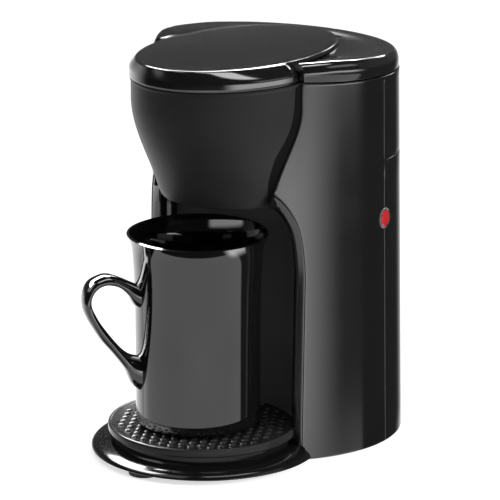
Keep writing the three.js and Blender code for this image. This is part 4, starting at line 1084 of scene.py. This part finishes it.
# ---------------------------------------------------------------- foot and cup plate
def plate_outline(clearance):
    """Where the plate may lie in plan: in front of the trims and the hollow panel."""
    z = 15 * MM
    x = opening_half(z)
    y = BODY_Y - sqrt(body_radius(z) ** 2 - x * x)
    right = [(80 * MM, y - 1.0 * MM - clearance)]
    for n, back in ((1.0, -0.7), (3.3, -0.7), (5.2, -0.2), (6.6, 1.4), (6.9, 3.1), (9.6, 3.8), (11.2, 4.3)):
        right.append((x - n * MM - clearance, y + back * MM - clearance))
    limit = asin((x - 11.6 * MM - clearance) / ALCOVE_RADIUS)
    panel = [on_alcove(lerp(limit, -limit, i / 40)) for i in range(41)]
    behind = [(px, py - clearance) for px, py in panel]
    left = [(-px, py) for px, py in reversed(right)]
    return right + behind + left + [(-80 * MM, -0.2), (80 * MM, -0.2)]


class MAKER_OT_foot(bpy.types.Operator):
    """Spins the foot's dome and its platform, and fits them round the body"""

    bl_idname = "maker.foot"
    bl_label = "Foot and pads"

    def execute(self, context):
        sizes = context.scene.maker_table
        radius = sizes.foot_radius / MM
        top = [(0, 8.8), (20, 8.8), (40, 8.8), (48, 8.8), (51.2, 8.75), (52.4, 8.62), (53.4, 8.45)]
        top += [(55.5, 8.02), (57.5, 7.6), (59.2, 7.2), (60.4, 6.8), (61.3, 6.35), (62.1, 5.75)]
        top += [(62.7, 5.1), (63.05, 4.45), (radius, 3.9), (radius, 3.3), (radius - 0.3, 3.0)]
        under = [(radius - 1.9, 3.0), (radius - 4.2, 5.0), (radius - 10, 6.4), (0, 6.8)]
        foot = turn("foot_shell_turned", top + under, FOOT_Y, steps=160)

        rise = [(0, 7.6), (49.8, 7.6), (49.8, 14.6), (49.5, 14.9), (0, 14.9)]
        platform = turn("platform", rise, PLATE_Y)
        combine(platform, prism("platform_outline", plate_outline(0.6 * MM), 0, 0.03), "INTERSECT")
        combine(foot, platform, "UNION")

        up = Vector((0, 0, 1))
        body_space = round_bar("body_space", Vector((0, BODY_Y, -0.01)), up, 0.06, 71.5 * MM, 128)
        half = opening_half(10 * MM) - 0.35 * MM
        opening = block("opening_space", half, (-200 * MM, 15.3 * MM), (-20 * MM, 70 * MM))
        combine(body_space, opening, "DIFFERENCE")
        combine(foot, body_space, "DIFFERENCE")
        combine(foot, prism("trim_space", plate_outline(0.3 * MM), -0.01, 0.04), "INTERSECT")
        finish(foot, "base", "gloss_body", "foot_shell", smooth_angle=30, look="foot_gloss")

        for name in ("front", "right", "left"):
            low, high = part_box(f"foot_pad_{name}")
            middle = (low + high) / 2
            end = Vector((middle.x, middle.y, low.z))
            pad = round_bar(f"foot_pad_{name}_disc", end, up, high.z - low.z, (high.x - low.x) / 2, 48)
            bpy.ops.object.mode_set(mode="EDIT")
            pick(pad, lambda co: co.z < middle.z)
            bpy.ops.mesh.inset(thickness=1.6 * MM)
            bpy.ops.transform.translate(value=(0, 0, 0.25 * MM))
            close_up(pad)
            soften(pad, 0.35 * MM, 3)
            finish(pad, "base", "soft_black", f"foot_pad_{name}")
        return {"FINISHED"}


class MAKER_OT_cup_plate(bpy.types.Operator):
    """Spins the cup plate and sets its rows of bumps"""

    bl_idname = "maker.cup_plate"
    bl_label = "Cup plate"

    def execute(self, context):
        sizes = context.scene.maker_table
        radius = sizes.plate_radius / MM
        top, low = plate_high.z / MM, plate_low.z / MM
        floor = top - 0.9
        profile = [(0, floor), (radius - 3.0, floor), (radius - 2.4, floor + 0.15)]
        profile += [(radius - 2.0, top - 0.25)]
        profile += quarter(radius - 1.2, top - 0.75, 0.75, 135, 90, 3)
        profile += quarter(radius - 0.9, top - 0.9, 0.9, 80, 0, 6)
        profile += [(radius, low + 1.2), (radius - 0.15, low + 0.4), (radius - 0.5, low), (radius - 2.2, low)]
        profile += [(radius - 2.2, top - 2.6), (0, top - 2.6)]
        plate = turn("cup_plate_turned", profile, PLATE_Y, steps=160)
        combine(plate, prism("plate_outline", plate_outline(0.4 * MM), 0, 0.03), "INTERSECT")
        soften(plate, 0.25 * MM, 2, 60)
        finish(plate, "plate", "plate", "cup_plate", smooth_angle=35)

        bump = start(
            "bump", bpy.ops.mesh.primitive_cylinder_add, vertices=14, radius=sizes.bump_radius,
            depth=0.3 * MM, location=(0, PLATE_Y, (floor - 0.1) * MM),
        )
        face = Vector((0, PLATE_Y, (floor + 0.05) * MM))
        steps = ((0.93, 0.305), (0.78, 0.61), (0.52, 0.878), (0.22, 1))
        pick(bump, lambda co: co.z > (floor - 0.1) * MM)
        dome(bump, face, Vector((0, 0, 1)), sizes.bump_radius, sizes.bump_height, steps)
        close_up(bump)
        copies = []
        pitch = sizes.bump_pitch
        edge = sizes.plate_radius - 3.2 * MM - sizes.bump_radius
        for row in range(-9, 10):
            for column in range(-9, 10):
                x = (column + 0.5 * (row % 2)) * pitch
                y = row * pitch * sqrt(3) / 2
                place = Vector((x, y, 0))
                deep = hypot(x, y + PLATE_Y - ALCOVE_Y) < ALCOVE_RADIUS - sizes.bump_radius - 1.4 * MM
                beside = abs(x) < 42 * MM - sizes.bump_radius or y + PLATE_Y < -21 * MM
                if place.length < edge and deep and beside:
                    copy = bump.copy()
                    copy.data = bump.data.copy()
                    copy.data.transform(Matrix.Translation(place))
                    context.scene.collection.objects.link(copy)
                    copies.append(copy)
        deselect()
        for copy in copies:
            copy.select_set(True)
        context.view_layer.objects.active = copies[0]
        bpy.ops.object.join()
        bumps = context.active_object
        bumps.name = "plate_bumps"
        bumps.data.name = "plate_bumps"
        bpy.data.objects.remove(bump)
        finish(bumps, "plate", "plate", smooth_angle=50, look="bump_black")
        return {"FINISHED"}


# ---------------------------------------------------------------- mug
# Outlines of the mug and its handle as (distance from the mug's axis, height), in millimetres
MUG_OUTSIDE = [
    (26.0, 19.4), (26.6, 18.2), (27.4, 17.95), (29.6, 17.9), (31.2, 18.0), (32.6, 18.6), (33.7, 19.8),
    (34.1, 21.6), (34.27, 24), (34.32, 27), (34.36, 45), (34.45, 70), (34.65, 88), (35.0, 100),
    (35.5, 109.5), (36.2, 117), (37.0, 120.8), (37.8, 123.1), (38.5, 124.6), (38.8, 125.3),
]
MUG_LIP = [(38.75, 125.75), (38.4, 126.0), (37.9, 125.95), (37.3, 125.5)]
MUG_INSIDE = [
    (36.5, 123.7), (35.5, 121), (34.4, 117), (33.4, 111), (32.5, 103), (31.9, 92), (31.6, 70), (31.4, 40),
    (31.3, 31), (30.9, 27.5), (29.9, 24.9), (28, 23), (25.4, 22.1), (20, 21.8), (10, 21.8),
]
HANDLE_OUTER = [
    (33.7, 98.6), (38.5, 101.2), (44.1, 104), (49.7, 106.2), (52.5, 106.7), (55.4, 106.4), (61, 104.1),
    (63.9, 101), (65.3, 97.2), (65.7, 92.7), (65.2, 87.5), (63.5, 82.8), (61.3, 78.6), (55.8, 69.6),
    (50.2, 62.7), (44.6, 55.3), (41.8, 51), (40.1, 46.8), (38.6, 43.4), (36.1, 40.6), (33.7, 38.6),
]
HANDLE_INNER = [
    (33.7, 85.6), (36.6, 87.6), (38.6, 90.7), (40.2, 93.7), (44.2, 98), (48.1, 100.1), (51.5, 101),
    (55.4, 100.5), (58.8, 98.3), (60.6, 95.6), (61.2, 92.2), (60.6, 88.8), (58.4, 84), (55.7, 79.2),
    (50.1, 71.3), (44.5, 64.5), (40.5, 60.9), (37.7, 59.4), (33.7, 58.2),
]


class MAKER_OT_mug(bpy.types.Operator):
    """Spins the mug and joins its strap handle to it"""

    bl_idname = "maker.mug"
    bl_label = "Mug"

    def execute(self, context):
        sizes = context.scene.maker_table
        profile = [(0, 19.4), *spread(MUG_OUTSIDE + MUG_LIP + MUG_INSIDE, 130), (0, 21.8)]
        mug = turn("mug_turned", profile, MUG_Y, MUG_X, 144)

        count = 72
        outside, inside = spread(HANDLE_OUTER, count), spread(HANDLE_INNER, count)
        out = Vector((cos(sizes.handle_turn), sin(sizes.handle_turn), 0))
        side = Vector((-out.y, out.x, 0))
        rings = []
        for i, (far, near) in enumerate(zip(outside, inside)):
            middle = (far + near) / 2
            half_thick = (far - near).length / 2
            across = (far - near).normalized()
            from_end = min(i, count - 1 - i) / (count - 1)
            half_wide = sizes.handle_width / 2 / MM * (1 + 0.16 * (1 - smooth(from_end, 0, 0.12)))
            ring = []
            for k in range(28):
                a = 2 * pi * k / 28
                c, s = cos(a), sin(a)
                wide = copysign(abs(c) ** 0.8, c) * half_wide
                thick = copysign(abs(s) ** 0.8, s) * half_thick
                reach, height = middle + across * thick
                place = out * reach + side * wide + Vector((0, 0, height))
                ring.append(Vector((MUG_X, MUG_Y, 0)) + place * MM)
            rings.append(ring)
        combine(mug, loft("handle", rings, fan=True), "UNION")
        finish(mug, "mug", "mug_glaze", "mug", smooth_angle=50)
        return {"FINISHED"}


# ---------------------------------------------------------------- stage
CARDS = [
    # azimuth, half width, low and high elevation, softness across and up (degrees), strength
    (-67.7, 102.3, -52, -17.6, 4, 0.4, 0.9),
    (-44, 30, -17.5, -12.5, 60, 0.5, 2.4),
    (2, 30, -11.5, -5.5, 20, 1.5, 3.6),
    (-16, 38, 50, 66, 8, 5, 6.0),
    (-105, 32, 14, 60, 10, 8, 2.0),
    (18, 18, 17, 31, 6, 4, 1.2),
    (106, 12, 16, 26, 5, 4, 10.0),
    (152, 38, -55, -5, 40, 16, 1.6),
    (172, 76, 34, 58, 8, 4, 38.0),
    (65, 45, -90, -45, 20, 20, 4.0),
    (128, 90, -5, 34, 20, 10, 0.08),
    (0, 180, -90, 90, 1, 1, 0.03),
]
CAMERA_PLACE = (1.365, -1.7186, 0.7424)
# How far the camera's aim lies to the right and up, in millimetres on a 36 mm sensor
AIM_RIGHT = 0.7992
AIM_UP = 13.1544


class MAKER_OT_stage(bpy.types.Operator):
    """Lays the floor, hangs the lights and sets the camera"""

    bl_idname = "maker.stage"
    bl_label = "Stage"

    def execute(self, context):
        sizes = context.scene.maker_stage
        floor = start("floor", bpy.ops.mesh.primitive_plane_add, size=8)
        bpy.ops.mesh.subdivide(number_cuts=3)
        bpy.ops.object.mode_set(mode="OBJECT")
        skin = Surface(blank("floor"))
        path = skin.node("ShaderNodeLightPath", output="Is Camera Ray")
        glossy = skin.node("ShaderNodeLightPath", output="Is Glossy Ray")
        matt = skin.node("ShaderNodeBsdfDiffuse", {}, {"Color": (*sizes.floor, 1)})
        glow = skin.node("ShaderNodeEmission", {}, {"Color": (1, 1, 1, 1), "Strength": 0.62})
        lit = skin.node("ShaderNodeAddShader", {}, {0: matt, 1: glow})
        seen = skin.node("ShaderNodeMixShader", {}, {0: path, 1: matt, 2: lit})
        clear = skin.node("ShaderNodeBsdfTransparent")
        shader = skin.node("ShaderNodeMixShader", {}, {0: glossy, 1: seen, 2: clear})
        skin.node("ShaderNodeOutputMaterial", {}, {"Surface": shader})
        floor.data.materials.append(skin.owner)

        world = bpy.data.worlds.new("studio")
        context.scene.world = world
        world.cycles.sampling_method = "NONE"
        room = Surface(world)
        way = room.node("ShaderNodeTexCoord", output="Generated")
        xyz = room.tree.nodes.new("ShaderNodeSeparateXYZ")
        connect(room.tree, xyz.inputs[0], way)
        x, y, z = (Value(room.tree, socket) for socket in xyz.outputs)
        height = z.math("ARCSINE", z)

        def step(value, middle, width):
            """Rises, or falls where the width is negative, from 0 to 1 about the middle, in degrees."""
            ends = {"From Min": radians(middle - width / 2), "From Max": radians(middle + width / 2)}
            settings = {"interpolation_type": "SMOOTHSTEP"}
            return room.node("ShaderNodeMapRange", settings, {"Value": value, **ends})

        total = 0
        for azimuth, half, low, high, across, up, strength in CARDS:
            a = radians(azimuth)
            ahead = x * cos(a) + y * sin(a)
            beside = y * cos(a) - x * sin(a)
            turned_by = x.math("ABSOLUTE", x.math("ARCTAN2", beside, ahead))
            card = step(turned_by, half, -across) * step(height, low, up) * step(height, high, -up)
            total = card * strength + total
        path = room.node("ShaderNodeLightPath", output="Is Camera Ray")
        path = path + room.node("ShaderNodeLightPath", output="Is Transmission Ray")
        glossy = room.node("ShaderNodeLightPath", output="Is Glossy Ray")
        white, cards, soft_light = (
            room.node("ShaderNodeBackground", {}, {"Color": (1, 1, 1, 1), "Strength": strength})
            for strength in (1.0, total, sizes.ambient)
        )
        other = room.node("ShaderNodeMixShader", {}, {0: glossy, 1: soft_light, 2: cards})
        shader = room.node("ShaderNodeMixShader", {}, {0: path, 1: other, 2: white})
        room.node("ShaderNodeOutputWorld", {}, {"Surface": shader})

        for name, place, size, power in (
            ("key_light", (1.5, 0.55, 0.5), 0.7, 30),
            ("fill_light", (-0.4, -0.6, 1.7), 0.9, 6),
        ):
            deselect()
            bpy.ops.object.light_add(type="AREA", location=place)
            lamp = context.active_object
            lamp.name = name
            lamp.data.shape = "SQUARE"
            lamp.data.size = size
            lamp.data.energy = power
            towards = Vector((0, 0, 0.1)) - Vector(place)
            lamp.rotation_euler = towards.to_track_quat("-Z", "Y").to_euler()
            lamp.visible_glossy = False

        right = Vector((cos(sizes.turn), sin(sizes.turn), 0))
        level = Vector((-right.y, right.x, 0))
        upright = Vector((0, 0, 1))
        ahead = level * cos(sizes.tilt) - upright * sin(sizes.tilt)
        above = level * sin(sizes.tilt) + upright * cos(sizes.tilt)
        aim = (ahead + (right * AIM_RIGHT + above * AIM_UP) / sizes.lens).normalized()
        deselect()
        bpy.ops.object.camera_add(location=CAMERA_PLACE)
        camera = context.active_object
        camera.name = "front_camera"
        camera.data.lens = sizes.lens
        camera.data.sensor_width = 36
        camera.data.clip_end = 30
        up = (above - aim * above.dot(aim)).normalized()
        camera.rotation_euler = Matrix((aim.cross(up), up, -aim)).transposed().to_euler()
        context.scene.camera = camera
        context.scene.view_settings.view_transform = "Standard"
        return {"FINISHED"}


class MAKER_PT_panel(bpy.types.Panel):
    """Lists the steps of the coffee maker"""

    bl_label = "Coffee maker"
    bl_idname = "MAKER_PT_panel"
    bl_space_type = "VIEW_3D"
    bl_region_type = "UI"
    bl_category = "Coffee maker"

    def draw(self, context):
        for name in STEPS:
            self.layout.operator(f"maker.{name}")
        for group in GROUPS:
            box = self.layout.box()
            values = getattr(context.scene, group)
            for key in values.bl_rna.properties.keys():
                if key not in ("rna_type", "name"):
                    box.prop(values, key)


STEPS = {
    "finishes": MAKER_OT_finishes,
    "side_shells": MAKER_OT_side_shells,
    "rear_panels": MAKER_OT_rear_panels,
    "button": MAKER_OT_button,
    "arch": MAKER_OT_arch,
    "head": MAKER_OT_head,
    "grooves": MAKER_OT_grooves,
    "lid": MAKER_OT_lid,
    "rear_cover": MAKER_OT_rear_cover,
    "foot": MAKER_OT_foot,
    "cup_plate": MAKER_OT_cup_plate,
    "mug": MAKER_OT_mug,
    "stage": MAKER_OT_stage,
}


def register():
    for kind in (*GROUPS.values(), *STEPS.values(), MAKER_PT_panel):
        bpy.utils.register_class(kind)
    for name, kind in GROUPS.items():
        setattr(bpy.types.Scene, name, PointerProperty(type=kind))


def unregister():
    for name in GROUPS:
        delattr(bpy.types.Scene, name)
    for kind in (MAKER_PT_panel, *reversed(STEPS.values()), *reversed(GROUPS.values())):
        bpy.utils.unregister_class(kind)


def main():
    register()
    for name in STEPS:
        getattr(bpy.ops.maker, name)()


if __name__ == "__main__":
    main()
